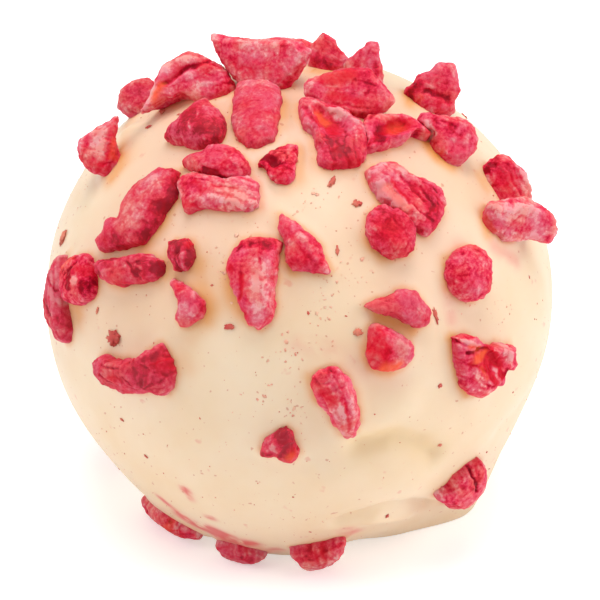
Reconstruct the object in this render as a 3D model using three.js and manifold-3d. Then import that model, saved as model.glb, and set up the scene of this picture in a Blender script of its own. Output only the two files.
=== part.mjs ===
// A hand-dipped truffle: a pale, solid ball that rests on a small flat foot, with broken bits of
// freeze-dried red berry stuck to it. Millimetres, +Z up, front towards -Y, foot on Z = 0.
import * as THREE from 'three';
import { mergeVertices } from 'three/addons/utils/BufferGeometryUtils.js';
import Module from 'manifold-3d';

const manifold = await Module();
manifold.setup();

// ---------------------------------------------------------------- driving dimensions
const COAT_RADIUS = 16;          // half the width at the widest level
const CENTRE_HEIGHT = 13.3;      // the widest level, above the foot
const CROWN_HEIGHT = 15.6;       // from the widest level to the top
const CROWN_FULLNESS = 2.05;     // 2 is an ellipse, more is squarer
const BELLY_DEPTH = 16.9;        // where the belly would close without its foot
const BELLY_FULLNESS = 1.81;     // below 2 the belly tapers like a gumdrop
const FOOT_RADIUS = 9;           // the flat foot where the coat ran out over the tray
const FLARE_REACH = 9.5;         // degrees of height over which the foot's outline fades upwards
const MARKS_FADE = 3;            // degrees above the foot's edge over which the coat's marks set in
const GAP = 0.1;                 // clearance between pieces that touch
const SUNK = 0.6;                // how deep the underside of a lying bit would go into the coat
const USUAL_BURY = 0.3;          // how deep the lower edge of a leaning bit goes in
const WELD = 1e-4;               // points closer than this are one
const FLOOR_CLEARANCE = 0.15;    // bits at the foot stay this far above the tray

const COAT_SEGMENTS = 44;
const COAT_RINGS = 18;           // from the top down to the edge of the foot
const FOOT_RINGS = 2;            // from the edge of the foot to its middle
const FRONT_SEGMENTS = 14;       // corners of a bit's outline on the front
const BACK_SEGMENTS = 10;        // and on the back

// Lobes of the foot's outline: azimuth (0 is the front, 90 the right side), half width, reach.
const FOOT_LOBES = [
  { azimuth: -43, spread: 16, reach: -0.4 },
  { azimuth: 24, spread: 13, reach: -1.5 },
  { azimuth: 74, spread: 17, reach: 2.9 },
  { azimuth: 150, spread: 24, reach: 0.7 },
  { azimuth: -125, spread: 22, reach: 0.6 },
];

// Swellings and dents of the coat: place, half width across and up (degrees), rise.
const COAT_MARKS = [
  { at: [29, -14], spread: [11, 5], rise: -0.4 },
  { at: [19, -27], spread: [15, 8], rise: 0.5 },
  { at: [23, -39], spread: [13, 5], rise: -0.45 },
  { at: [36, 8], spread: [5, 22], rise: -0.08 },
  { at: [-85, -35], spread: [38, 15], rise: -0.35 },
  { at: [90, 14], spread: [32, 20], rise: 0.25 },
  { at: [-140, -20], spread: [20, 8], rise: 0.3 },
  { at: [165, -36], spread: [16, 5], rise: -0.35 },
];

// Outlines of the broken bits, from -1 to 1 along and across, anticlockwise or clockwise alike.
const OUTLINES = {
  droplet: [[-1, 0.25], [-0.6, 0.5], [-0.1, 0.9], [0.3, 1], [0.85, 0.9], [1, 0.4], [0.8, -0.1],
    [0.5, -0.5], [0.2, -1], [-0.05, -0.9], [-0.4, -0.6], [-0.65, -0.2], [-0.85, 0.05]],
  drop: [[-1, 0.35], [-0.5, 0.7], [0.1, 1], [0.7, 0.85], [1, 0.3], [0.4, -0.55], [0.1, -1], [-0.55, -0.4]],
  slab: [[-1, -0.2], [-0.9, 0.5], [0, 1], [0.6, 1], [1, 0.1], [0.85, -0.6], [0.4, -1], [-0.7, -0.95]],
  lobe: [[-1, -0.3], [-0.45, 0.8], [0.1, 1], [0.9, 0.2], [1, -0.6], [0.55, -1], [-0.5, -0.75]],
  raft: [[-1, 0.5], [-0.4, 0.95], [0.15, 0.65], [0.7, 1], [1, 0], [0.9, -0.65], [-0.1, -0.7], [-0.4, -1]],
  chip: [[-1, 0.1], [-0.1, 0.65], [1, 1], [0.95, -0.4], [0.5, -1], [-0.2, -0.8], [-0.5, -0.15]],
  plank: [[-1, 0.7], [-0.6, 0.75], [-0.4, 0.4], [0.15, 1], [0.6, 0.85], [1, 0.15], [0.7, -0.65],
    [0.3, -0.95], [-0.35, -1], [-0.7, -0.3], [-1, 0.1]],
  rod: [[-1, 0.25], [0, 0.65], [0.5, 1], [0.85, 0.85], [1, 0.2], [0.9, -0.5], [0.1, -0.9], [-0.4, -1]],
  bean: [[-1, -0.65], [-0.4, 0.35], [0.4, 1], [0.9, 0.55], [1, -0.35], [0.7, -1], [0.15, -0.45]],
  wedge: [[-1, 0.05], [-0.8, 0.95], [-0.35, 0.7], [0.45, 0.6], [0.95, 0.25], [1, -0.3], [0.5, -0.65],
    [-0.35, -1], [-0.8, -0.75]],
  blade: [[-1, 0.35], [-0.4, 0.6], [0.15, 1], [1, 0.35], [0.65, -0.35], [0.25, -1], [-0.15, -0.5]],
  husk: [[-1, -0.2], [-0.85, 0.35], [-0.35, 0.8], [0.2, 1], [0.75, 0.6], [1, 0.1], [0.7, -1],
    [0.2, -0.85], [-0.6, -0.55]],
  scoop: [[-1, -0.1], [-0.55, 0.8], [-0.2, 0.65], [0.6, 1], [0.9, 0.5], [0.95, -0.3], [0.65, -0.95],
    [0.15, -0.8], [-0.75, -0.55]],
  leaf: [[-1, 0.5], [-0.25, 0.85], [0.45, 1], [0.75, 0.35], [1, -0.5], [0.7, -1], [0.1, -0.5], [-0.6, 0.1]],
  fan: [[-0.95, 0.1], [-0.4, 0.7], [0.7, 1], [1, 0.05], [0.85, -0.55], [0.25, -1], [-0.45, -0.55]],
  heart: [[-0.95, -0.85], [-0.8, -0.4], [-0.3, -0.05], [0.15, 0.9], [0.45, 1], [0.75, 0.75], [0.75, 0.45],
    [0.95, 0.45], [1, -0.05], [0.45, -0.95], [-0.5, -0.95]],
  club: [[-1, -0.1], [-0.75, 0.85], [-0.25, 1], [0.55, 0.55], [0.95, 0], [0.9, -0.55], [0.3, -0.65],
    [-0.35, -1], [-0.8, -0.8]],
  lips: [[-1, -0.2], [-0.7, 0.1], [0.1, 0.25], [0.3, 0.4], [0.4, 0.8], [0.67, 1], [0.88, 0.7], [1, 0.1],
    [0.9, -0.5], [0.6, -0.8], [-0.45, -1], [-0.85, -0.7]],
  wing: [[-1, 1], [-0.7, 0.95], [-0.3, 0.8], [0.3, 0.7], [0.95, 0.75], [1, 0.2], [0.75, -0.5],
    [0.4, -1], [-0.4, -0.75], [-0.8, 0.35]],
  fold: [[-1, -0.2], [-0.7, 0.15], [-0.35, 0.65], [0, 1], [0.45, 0.7], [0.95, 0.2], [1, -0.4], [0.85, -1],
    [0.3, -0.75], [-0.2, -0.4], [-0.9, -0.35]],
  shelf: [[-1, -0.45], [-0.7, 0.85], [-0.1, 1], [0.5, 0.6], [1, 0.25], [0, -0.6], [-0.5, -0.95],
    [-0.9, -0.75]],
  spike: [[-1, -0.3], [-0.6, 0.4], [-0.1, 1], [0.4, 0.5], [1, -0.55], [0.5, -1], [-0.5, -0.95]],
  panel: [[-1, -0.1], [-0.25, 0.8], [0.4, 1], [0.7, 0.4], [1, 0.25], [0.85, -0.45], [0.55, -0.85],
    [-0.45, -0.95], [-0.9, -0.6]],
  ladle: [[-1, 0], [-0.5, 0.4], [0.5, 1], [0.9, 0.55], [1, -0.2], [0.8, -0.85], [0.35, -1], [-0.15, -0.8],
    [-0.45, -0.35], [-0.95, -0.4]],
  strap: [[-1, -0.25], [-0.85, -0.65], [-0.3, -1], [0.05, -0.75], [0.4, -0.25], [1, 0.3], [0.9, 0.75],
    [0.6, 1], [-0.2, 0.85], [-0.75, 0.1]],
  tooth: [[-1, 0.25], [-0.6, 0.5], [0.3, 0.7], [0.75, 1], [1, 0.7], [0.8, 0.1], [0.6, -0.65], [0.15, -1],
    [-0.45, -0.75], [-0.7, -0.15]],
  tilted: [[-1, -0.75], [-0.95, 0], [-0.7, 0.75], [-0.45, 1], [0.1, 0.85], [0.6, 0.65], [0.85, 0.2],
    [1, -0.6], [0.35, -0.9], [-0.6, -1]],
  stub: [[-0.9, 0.05], [-0.45, 0.65], [0.15, 1], [0.75, 0.9], [1, 0.35], [1, -0.5], [0.75, -0.95],
    [0.2, -0.9], [-0.3, -0.7], [-0.95, -0.55]],
  bead: [[-1, 0.2], [-0.65, 0.8], [0, 1], [0.65, 0.75], [1, 0], [0.7, -0.75], [0, -1], [-0.75, -0.65]],
  flag: [[0.95, 0.8], [1, 0.4], [0.75, -0.3], [0.5, -0.9], [-0.1, -1], [-0.65, -0.95], [-0.9, -0.55],
    [-1, 0.3], [-0.9, 0.9], [-0.4, 0.85], [0, 1], [0.6, 0.9]],
  crescent: [[-1, -0.5], [-0.5, 0.5], [0.1, 1], [0.7, 0.4], [1, -0.6], [0.3, -1], [-0.5, -0.9]],
};

// Bits on the front: azimuth and latitude on the ball, turn of the long side (anticlockwise from
// east), size along, across and in thickness, how far it leans up from the coat, how deep its
// middle is hollowed out.
const FRONT_BITS = [
  { kind: 'shard', outline: 'wing', at: [-72, 81], turn: 60, size: [6.7, 3.7, 1.4], lean: 60 },
  { kind: 'shard', outline: 'fold', at: [-85, 65], turn: 90, size: [6.3, 4, 1.6], lean: 52, bury: 0.9 },
  { kind: 'drupelet', outline: 'bead', at: [-107, 51], turn: 120, size: [2.7, 2.1, 1.5], lean: 60 },
  { kind: 'husk', outline: 'shelf', at: [-80, 46], turn: 110, size: [4.2, 2.7, 1.3], lean: 60 },
  { kind: 'drupelet', outline: 'droplet', at: [-60, 63], turn: -30, size: [4.8, 4, 1.4] },
  { kind: 'shard', outline: 'slab', at: [-33, 74], turn: -61, size: [6.8, 3.1, 0.9] },
  { kind: 'shard', outline: 'lobe', at: [-34, 57], turn: 10, size: [4.6, 2.4, 1.1] },
  { kind: 'strand', outline: 'raft', at: [-28, 50], turn: 7, size: [5.7, 2.8, 0.9] },
  { kind: 'drupelet', outline: 'chip', at: [-9, 59], turn: 12, size: [2.5, 2.8, 0.9], hollow: 0.4 },
  { kind: 'shard', outline: 'plank', at: [-51, 40], turn: 74, size: [7, 3.8, 1.2] },
  { kind: 'strand', outline: 'rod', at: [-46, 28], turn: 18, size: [5.5, 2.1, 1] },
  { kind: 'drupelet', outline: 'bead', at: [-32, 35], turn: -61, size: [2.2, 2, 0.9] },
  { kind: 'drupelet', outline: 'slab', at: [-61, 20], turn: -61, size: [3.1, 3.3, 1.1] },
  { kind: 'strand', outline: 'rod', at: [-68, 12], turn: -62, size: [5.6, 2.7, 1.1] },
  { kind: 'shard', outline: 'bean', at: [-27, 26], turn: -61, size: [3.2, 2.2, 0.8] },
  { kind: 'strand', outline: 'wedge', at: [-10, 32], turn: -80, size: [5.6, 3.5, 1.1] },
  { kind: 'shard', outline: 'blade', at: [0, 40], turn: -54, size: [4.8, 2.4, 0.9] },
  { kind: 'shard', outline: 'spike', at: [139, 80], turn: -140, size: [2.9, 2.7, 1.1], lean: 60 },
  { kind: 'shard', outline: 'spike', at: [88, 76], turn: -105, size: [2.8, 3.4, 1.2], lean: 60 },
  { kind: 'shard', outline: 'panel', at: [39, 73], turn: -45, size: [5.6, 3.3, 1.3], lean: 40 },
  { kind: 'husk', outline: 'husk', at: [19, 68], turn: -79, size: [6.4, 4, 1.4], hollow: 0.5 },
  { kind: 'husk', outline: 'tilted', at: [51, 62], turn: -17, size: [5, 3, 1.3], hollow: 0.4 },
  { kind: 'shard', outline: 'spike', at: [93, 60.5], turn: -105, size: [3.7, 3.1, 1.5], lean: 60 },
  { kind: 'husk', outline: 'ladle', at: [64, 54], turn: -80, size: [4.2, 3, 1.3], lean: 40 },
  { kind: 'husk', outline: 'scoop', at: [37, 48], turn: -58, size: [5.5, 3.8, 1.3], hollow: 0.4 },
  { kind: 'drupelet', outline: 'bead', at: [27, 41], turn: -69, size: [3.5, 3, 1.3], hollow: 0.25 },
  {
    kind: 'drupelet', outline: 'slab', at: [76, 37], turn: -105, size: [3.6, 2.8, 1.4],
    lean: 50, bury: 0.8,
  },
  { kind: 'strand', outline: 'strap', at: [65, 29], turn: -60, size: [5.8, 3.5, 1.4], lean: 45, bury: 0.6 },
  { kind: 'drupelet', outline: 'bead', at: [46, 27], turn: -109, size: [3.4, 3.5, 1.2] },
  { kind: 'shard', outline: 'leaf', at: [24, 24], turn: -4, size: [4.4, 2.5, 0.9] },
  { kind: 'strand', outline: 'fan', at: [20, 17], turn: -60, size: [3.5, 2.7, 0.9] },
  { kind: 'husk', outline: 'heart', at: [46, 8], turn: -80, size: [5.5, 5, 1.4], hollow: 0.55 },
  { kind: 'strand', outline: 'club', at: [9, 6], turn: -65, size: [5.2, 2.3, 1] },
  { kind: 'shard', outline: 'flag', at: [49, -31], turn: 40, size: [3.7, 6, 1.2] },
  { kind: 'shard', outline: 'lips', at: [-39, 8], turn: 5, size: [6.6, 3.8, 1.2] },
  { kind: 'drupelet', outline: 'stub', at: [-4, -4], turn: 10, size: [2.3, 2.4, 1] },
  { kind: 'shard', outline: 'crescent', at: [-54, -50], turn: 0, size: [6.4, 2, 0.9] },
  { kind: 'shard', outline: 'crescent', at: [-20, -51], turn: 180, size: [3.4, 2, 1] },
  { kind: 'husk', outline: 'tooth', at: [6, -46], turn: 0, size: [3.7, 3.4, 1.4] },
];

// Bits on the back and on the far sides, in the same terms and without a lean.
const BACK_BITS = [
  { kind: 'shard', outline: 'plank', at: [-170, 58], turn: 30, size: [6.2, 3.6, 1.1] },
  { kind: 'husk', outline: 'scoop', at: [145, 32], turn: -50, size: [5, 3.6, 1.3], hollow: 0.4 },
  { kind: 'drupelet', outline: 'bead', at: [124, 16], turn: 10, size: [3.2, 3, 1.3] },
  { kind: 'strand', outline: 'club', at: [170, 33], turn: 80, size: [5, 2.4, 1] },
  { kind: 'shard', outline: 'leaf', at: [-163, 37], turn: -20, size: [4.8, 2.8, 0.9] },
  { kind: 'husk', outline: 'heart', at: [-141, 44], turn: 40, size: [4.6, 4, 1.3], hollow: 0.5 },
  { kind: 'strand', outline: 'wedge', at: [-148, 19], turn: -70, size: [5, 3.2, 1] },
  { kind: 'drupelet', outline: 'drop', at: [-126, 16], turn: 60, size: [3.8, 3, 1.2] },
  { kind: 'shard', outline: 'blade', at: [113, -2], turn: 35, size: [4.6, 2.6, 0.9] },
  { kind: 'husk', outline: 'husk', at: [140, 14], turn: -75, size: [5.4, 3.6, 1.3], hollow: 0.45 },
  { kind: 'drupelet', outline: 'bead', at: [178, 14], turn: 0, size: [3.3, 3.1, 1.2] },
  { kind: 'shard', outline: 'slab', at: [-160, 9], turn: 70, size: [4.6, 2.7, 1] },
  { kind: 'strand', outline: 'raft', at: [-121, -3], turn: -15, size: [5, 2.8, 0.9] },
  { kind: 'shard', outline: 'lips', at: [150, -3], turn: 160, size: [5.6, 3.4, 1.1] },
  { kind: 'drupelet', outline: 'chip', at: [-141, -9], turn: 100, size: [2.6, 2.6, 1] },
  { kind: 'shard', outline: 'bean', at: [110, -20], turn: -40, size: [3.8, 2.5, 0.9] },
  { kind: 'husk', outline: 'fan', at: [-103, -22], turn: 55, size: [3.8, 3.2, 1.1], hollow: 0.3 },
  { kind: 'strand', outline: 'rod', at: [-172, -22], turn: 25, size: [4.8, 2.2, 1] },
  { kind: 'shard', outline: 'crescent', at: [128, -46], turn: 5, size: [4, 2.2, 1] },
  { kind: 'shard', outline: 'lobe', at: [-108, -44], turn: -10, size: [3.8, 2.2, 1] },
];

const COLOURS = {
  coat: '#f1dcc0',
  drupelet: '#c23a52',
  shard: '#dd5263',
  strand: '#e06c78',
  husk: '#d8495a',
};
const COAT_ROUGHNESS = 0.38;
const BIT_ROUGHNESS = 0.75;

// ---------------------------------------------------------------- small helpers
const degrees = THREE.MathUtils.degToRad;
const centre = new THREE.Vector3(0, 0, CENTRE_HEIGHT);
const up = new THREE.Vector3(0, 0, 1);

// Smooth hill of height 1 at the distance 0, both in the same unit.
function hill(distance, spread) {
  return Math.exp(-((distance / spread) ** 2));
}

// The shorter way round from one azimuth to another, in degrees.
function turnBetween(from, to) {
  return THREE.MathUtils.euclideanModulo(to - from + 180, 360) - 180;
}

// Direction of an azimuth and a latitude in degrees: azimuth 0 is the front, 90 the right side.
function direction(azimuth, latitude) {
  const across = Math.cos(degrees(latitude));
  return new THREE.Vector3(
    across * Math.sin(degrees(azimuth)),
    -across * Math.cos(degrees(azimuth)),
    Math.sin(degrees(latitude)),
  );
}

// The azimuth and the latitude of a direction, in degrees.
function angles(along) {
  return {
    azimuth: THREE.MathUtils.radToDeg(Math.atan2(along.x, -along.y)),
    latitude: THREE.MathUtils.radToDeg(Math.asin(along.z)),
  };
}

// Moves every vertex of a sphere to shape(across, down), both from 0 to 1, the poles at 0 and 1.
function reshape(sphere, shape) {
  const { position, uv } = sphere.attributes;
  for (let i = 0; i < position.count; i += 1) {
    const point = shape(uv.getX(i), 1 - uv.getY(i));
    position.setXYZ(i, point.x, point.y, point.z);
  }
  return sphere;
}

// A closed geometry as a solid that can be cut and joined.
function toSolid(geometry) {
  geometry.deleteAttribute('normal');
  geometry.deleteAttribute('uv');
  const welded = mergeVertices(geometry, WELD);
  const mesh = new manifold.Mesh({
    numProp: 3,
    vertProperties: new Float32Array(welded.attributes.position.array),
    triVerts: new Uint32Array(welded.index.array),
  });
  return new manifold.Manifold(mesh);
}

// A solid as a geometry with flat faces.
function toGeometry(solid) {
  const mesh = solid.getMesh();
  const geometry = new THREE.BufferGeometry();
  geometry.setAttribute('position', new THREE.BufferAttribute(mesh.vertProperties, 3));
  geometry.setIndex(new THREE.BufferAttribute(mesh.triVerts, 1));
  const flat = geometry.toNonIndexed();
  flat.computeVertexNormals();
  return flat;
}

// ---------------------------------------------------------------- coat
// How far the edge of the flat foot lies from the middle.
function footRadius(azimuth) {
  return FOOT_LOBES.reduce(
    (radius, lobe) => radius + lobe.reach * hill(turnBetween(lobe.azimuth, azimuth), lobe.spread),
    FOOT_RADIUS,
  );
}

// How far below the widest level that edge is seen from the centre.
function edgeLatitude(azimuth) {
  return -THREE.MathUtils.radToDeg(Math.atan2(CENTRE_HEIGHT, footRadius(azimuth)));
}

// Distance from the centre to the smooth ball, before its marks and its foot.
function ballRadius(latitude) {
  const depth = latitude > 0 ? CROWN_HEIGHT : BELLY_DEPTH;
  const fullness = latitude > 0 ? CROWN_FULLNESS : BELLY_FULLNESS;
  const across = (Math.cos(degrees(latitude)) / COAT_RADIUS) ** fullness;
  const along = (Math.abs(Math.sin(degrees(latitude))) / depth) ** fullness;
  return (across + along) ** (-1 / fullness);
}

// Distance from the centre to the coat: the ball with its marks, drawn out to meet the foot.
function coatRadius(azimuth, latitude) {
  const edge = edgeLatitude(azimuth);
  if (latitude < edge) {
    return CENTRE_HEIGHT / Math.sin(degrees(-latitude));
  }
  const toFoot = Math.hypot(CENTRE_HEIGHT, footRadius(azimuth)) - ballRadius(edge);
  const fade = hill(latitude - edge, FLARE_REACH);
  const marks = COAT_MARKS.reduce((sum, mark) => {
    const across = turnBetween(mark.at[0], azimuth) * Math.cos(degrees(latitude));
    const upwards = latitude - mark.at[1];
    return sum + mark.rise * hill(across, mark.spread[0]) * hill(upwards, mark.spread[1]);
  }, 0);
  return ballRadius(latitude) + toFoot * fade + marks * (1 - hill(latitude - edge, MARKS_FADE));
}

// The point of the coat in a direction, raised by `height`.
function onCoat(along, height = 0) {
  const { azimuth, latitude } = angles(along);
  return centre.clone().addScaledVector(along, coatRadius(azimuth, latitude) + height);
}

// The coat as a closed solid, larger all round by `growth`.
function coatSolid(growth = 0) {
  const rings = COAT_RINGS + FOOT_RINGS;
  const sphere = new THREE.SphereGeometry(1, COAT_SEGMENTS, rings);
  reshape(sphere, (across, down) => {
    const azimuth = (across % 1) * 360;
    const ring = Math.round(down * rings);
    const edge = edgeLatitude(azimuth);
    if (ring === 0) {
      return centre.clone().addScaledVector(up, CROWN_HEIGHT + growth);
    }
    if (ring < COAT_RINGS) {
      return onCoat(direction(azimuth, 90 - (90 - edge) * (ring / COAT_RINGS)), growth);
    }
    const inwards = 1 - (ring - COAT_RINGS) / FOOT_RINGS;
    const rim = onCoat(direction(azimuth, edge), growth);
    return new THREE.Vector3(rim.x * inwards, rim.y * inwards, -growth);
  });
  return toSolid(sphere);
}

// ---------------------------------------------------------------- berry bits
// Ring by ring from the top of a bit to its underside: share of the outline, share of the height.
const DOME = [[0, 1], [0.6, 0.92], [0.92, 0.55], [1, 0.1], [0, -1]];
const PLATE = [[0, 1], [0.8, 0.95], [1, 0.1], [0.8, -0.9], [0, -1]];

// A named outline as a smooth closed curve, cut into equal steps anticlockwise.
function outlinePoints(name, segments) {
  const corners = OUTLINES[name].map(([x, y]) => new THREE.Vector3(x, y, 0));
  const curve = new THREE.CatmullRomCurve3(corners, true, 'centripetal');
  const points = curve.getSpacedPoints(segments).slice(0, segments);
  if (THREE.ShapeUtils.area(points) < 0) {
    points.reverse();
  }
  return points;
}

// The directions of a bit: along its length, across it and out of its face.
function bitFrame({ at, turn, lean = 0 }) {
  const outwards = direction(at[0], at[1]);
  const east = direction(at[0] + 90, 0);
  const north = outwards.clone().cross(east);
  const along = east.clone().multiplyScalar(Math.cos(degrees(turn)));
  along.addScaledVector(north, Math.sin(degrees(turn)));
  const flat = outwards.clone().cross(along);
  const across = flat.clone().multiplyScalar(Math.cos(degrees(lean)));
  across.addScaledVector(outwards, Math.sin(degrees(lean)));
  const face = along.clone().cross(across);
  return { outwards, along, across, face };
}

// A bit as a closed solid, larger all round by `growth`. A lying bit follows the coat; a leaning
// one is a flat plate that stands on its lower edge, buried a little.
function bitSolid(bit, segments, growth = 0) {
  const { outwards, along, across, face } = bitFrame(bit);
  const [length, width, thickness] = bit.size;
  const outline = outlinePoints(bit.outline, segments);
  const rings = bit.lean ? PLATE : DOME;
  const foot = onCoat(outwards);
  const lift = bit.lean ? width / 2 - (bit.bury ?? USUAL_BURY) : 0;
  const sphere = new THREE.SphereGeometry(1, segments, rings.length - 1);
  reshape(sphere, (around, down) => {
    const [share, rise] = rings[Math.round(down * (rings.length - 1))];
    const corner = outline[Math.round((around + 1) * segments) % segments];
    const u = share * corner.x * (length / 2 + growth);
    const v = share * corner.y * (width / 2 + growth) + lift;
    const scooped = rise > 0 ? rise - (bit.hollow ?? 0) * (1 - share) : rise;
    if (bit.lean) {
      const w = scooped * (thickness / 2 + growth);
      return foot.clone().addScaledVector(along, u).addScaledVector(across, v).addScaledVector(face, w);
    }
    const w = scooped > 0 ? scooped * (thickness + growth) : scooped * SUNK;
    const spot = foot.clone().addScaledVector(along, u).addScaledVector(across, v);
    return onCoat(spot.sub(centre).normalize(), w);
  });
  return toSolid(sphere);
}

// The largest piece of a solid that the cuts may have parted.
function largestBody(solid) {
  const bodies = solid.decompose();
  return bodies.reduce((best, body) => (body.volume() > best.volume() ? body : best));
}

// ---------------------------------------------------------------- assembly
// Everything below the tray's surface, which the bits at the foot keep clear of.
function traySolid() {
  const side = 3 * (2 * COAT_RADIUS);
  const block = new THREE.BoxGeometry(side, side, side);
  block.translate(0, 0, FLOOR_CLEARANCE - side / 2);
  return toSolid(block);
}

// A solid as a named mesh that sits at `place`, with its geometry measured from there.
function bodyMesh(name, kind, solid, place, roughness) {
  const material = new THREE.MeshStandardMaterial({ color: COLOURS[kind], roughness, metalness: 0 });
  const geometry = toGeometry(solid).translate(-place.x, -place.y, -place.z);
  const mesh = new THREE.Mesh(geometry, material);
  mesh.name = name;
  mesh.position.copy(place);
  return mesh;
}

function buildTruffle() {
  const truffle = new THREE.Group();
  truffle.add(bodyMesh('coat', 'coat', coatSolid(), centre, COAT_ROUGHNESS));

  // Whatever is already there, grown by the gap, is cut out of the next bit.
  let taken = coatSolid(GAP).add(traySolid());
  const counts = {};
  const bits = [
    ...FRONT_BITS.map((bit) => ({ ...bit, segments: FRONT_SEGMENTS })),
    ...BACK_BITS.map((bit) => ({ ...bit, segments: BACK_SEGMENTS })),
  ];
  for (const bit of bits) {
    const solid = largestBody(bitSolid(bit, bit.segments).subtract(taken));
    taken = taken.add(bitSolid(bit, bit.segments, GAP));
    counts[bit.kind] = (counts[bit.kind] ?? 0) + 1;
    const name = `${bit.kind}_${String(counts[bit.kind]).padStart(2, '0')}`;
    const place = onCoat(direction(bit.at[0], bit.at[1]));
    truffle.add(bodyMesh(name, bit.kind, solid, place, BIT_ROUGHNESS));
  }
  return truffle;
}

export default buildTruffle();
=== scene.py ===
# %% [markdown]
# # An ivory-coated truffle with freeze-dried red berry
# A hand-dipped truffle is a soft ball that was rolled by hand, dipped into melted white chocolate
# and set down on a tray, where the coat ran out into a small foot. While the coat was still soft,
# broken bits of freeze-dried red berry were scattered over it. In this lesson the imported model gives
# the place and size of every piece, and Blender gives each of them its real surface: first the
# crumbly bits, then the satin coat that rises round them, then crumbs and dust, finishes and light.

import math

import bmesh
import bpy
import numpy as np
from mathutils import Matrix, Vector
from mathutils.bvhtree import BVHTree
from mathutils.kdtree import KDTree


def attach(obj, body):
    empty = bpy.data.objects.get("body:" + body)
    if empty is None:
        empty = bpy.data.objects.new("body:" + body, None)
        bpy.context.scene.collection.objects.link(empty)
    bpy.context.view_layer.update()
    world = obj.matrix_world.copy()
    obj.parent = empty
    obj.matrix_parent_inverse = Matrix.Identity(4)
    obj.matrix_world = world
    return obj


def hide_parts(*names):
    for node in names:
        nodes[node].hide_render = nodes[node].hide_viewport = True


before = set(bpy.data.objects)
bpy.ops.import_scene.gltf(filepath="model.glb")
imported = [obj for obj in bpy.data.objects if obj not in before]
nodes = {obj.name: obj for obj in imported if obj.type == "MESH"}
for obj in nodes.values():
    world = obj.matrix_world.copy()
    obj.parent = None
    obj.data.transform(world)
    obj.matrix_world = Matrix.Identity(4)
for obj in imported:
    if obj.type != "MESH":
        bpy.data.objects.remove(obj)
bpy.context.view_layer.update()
print("packed pieces:", len(nodes))

# %% [markdown]
# The truffle is only 32 mm across, and some of Blender's tools stop at a tenth of a millimetre when
# they work in metres. So every mesh is made a thousand times larger, where one unit is one
# millimetre, and is brought back to metres at the very end. The middle of the ball is the middle of
# all directions: an azimuth of 0 looks to the front and 90 to the right, and a latitude of 90 is the
# top.

# %% Measures and directions
MM = 1000.0
BALL_MIDDLE = np.array([0.0, 0.0, 13.3])


def direction(azimuth, latitude):
    """Unit vector from the middle of the ball, for angles in degrees."""
    a, l = np.radians(azimuth), np.radians(latitude)
    return np.stack([np.cos(l) * np.sin(a), -np.cos(l) * np.cos(a), np.sin(l)], -1)


def outward_from_middle(points):
    """Unit vectors from the middle of the ball to the points."""
    arms = points - BALL_MIDDLE
    return arms / np.linalg.norm(arms, axis=1)[:, None]


def angles(points):
    """Azimuth and latitude of the points, in degrees."""
    arms = points - BALL_MIDDLE
    return (np.degrees(np.arctan2(arms[:, 0], -arms[:, 1])),
            np.degrees(np.arcsin(arms[:, 2] / np.linalg.norm(arms, axis=1))))


print("front of the ball:", direction(0, 0).round(2))

# %% [markdown]
# Shaping by code needs a few helpers that treat a mesh as arrays of numbers: reading and writing
# vertices, averaging over neighbours (which smooths, as a sculptor's smooth brush does), and smooth
# random values in space. The random values come from fixed seeds, so that every run makes the same
# truffle.

# %% Meshes as arrays
def read(items, field, width, kind=np.float32):
    """One field of all vertices or edges, as rows of `width` numbers."""
    values = np.empty(len(items) * width, kind)
    items.foreach_get(field, values)
    return values.reshape(-1, width)


def vertices_of(mesh):
    return read(mesh.vertices, "co", 3).astype(float)


def normals_of(mesh):
    return read(mesh.vertex_normals, "vector", 3).astype(float)


def edges_of(mesh):
    return read(mesh.edges, "vertices", 2, np.int32)


def set_vertices(mesh, points):
    mesh.vertices.foreach_set("co", points.astype(np.float32).ravel())
    mesh.update()


def set_attribute(mesh, name, values):
    layer = mesh.attributes.new(name, "FLOAT", "POINT")
    layer.data.foreach_set("value", np.asarray(values, np.float32))


def neighbour_mean(values, edges):
    """Mean over each vertex's neighbours, for one number or one vector a vertex."""
    count, (a, b) = len(values), edges.T
    share = np.bincount(a, minlength=count) + np.bincount(b, minlength=count)
    columns = [np.bincount(a, column[b], count) + np.bincount(b, column[a], count)
               for column in values.reshape(count, -1).T]
    return (np.stack(columns, 1) / np.maximum(share, 1)[:, None]).reshape(values.shape)


def smoothed(values, edges, rounds):
    """Each round brings every value halfway to the mean of its neighbours."""
    for _ in range(rounds):
        values = values + 0.5 * (neighbour_mean(values, edges) - values)
    return values


print("a step smoothed:", smoothed(np.array([0.0, 0.0, 1.0]), np.array([[0, 1], [1, 2]]), 1))


# %% Smooth random values in space
def grain(points, per_mm, seed):
    """Smooth random numbers from -1 to 1, with about `per_mm` swings a millimetre."""
    spot = points * per_mm + seed * 7.31
    cell = np.floor(spot).astype(np.int64)
    part = spot - cell
    part = part * part * (3 - 2 * part)
    total = np.zeros(len(points))
    for corner in np.ndindex(2, 2, 2):
        # large odd numbers scramble the corner's place into a code that looks random
        x, y, z = (cell + corner).T
        code = (x * 374761393 + y * 668265263 + z * 1442695041 + seed * 97911) & 0xFFFFFFFF
        code = ((code ^ (code >> 13)) * 1274126177) & 0xFFFFFFFF
        code = ((code ^ (code >> 16)) * 2246822519) & 0xFFFFFFFF
        share = np.prod(np.where(corner, part, 1 - part), axis=1)
        total += share * (((code ^ (code >> 15)) & 0xFFFF) / 32767.5 - 1)
    return total


def creases(points, per_mm, seed, width):
    """1 along the winding lines where the smooth values cross zero, 0 away from them."""
    return np.exp(-((grain(points, per_mm, seed) / width) ** 2))


def ease(value):
    """0 below 0, 1 above 1, and a smooth step between."""
    value = np.clip(value, 0, 1)
    return value * value * (3 - 2 * value)


print("smooth random values, a sample:", grain(np.eye(3), 1.0, 3).round(2))

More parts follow.
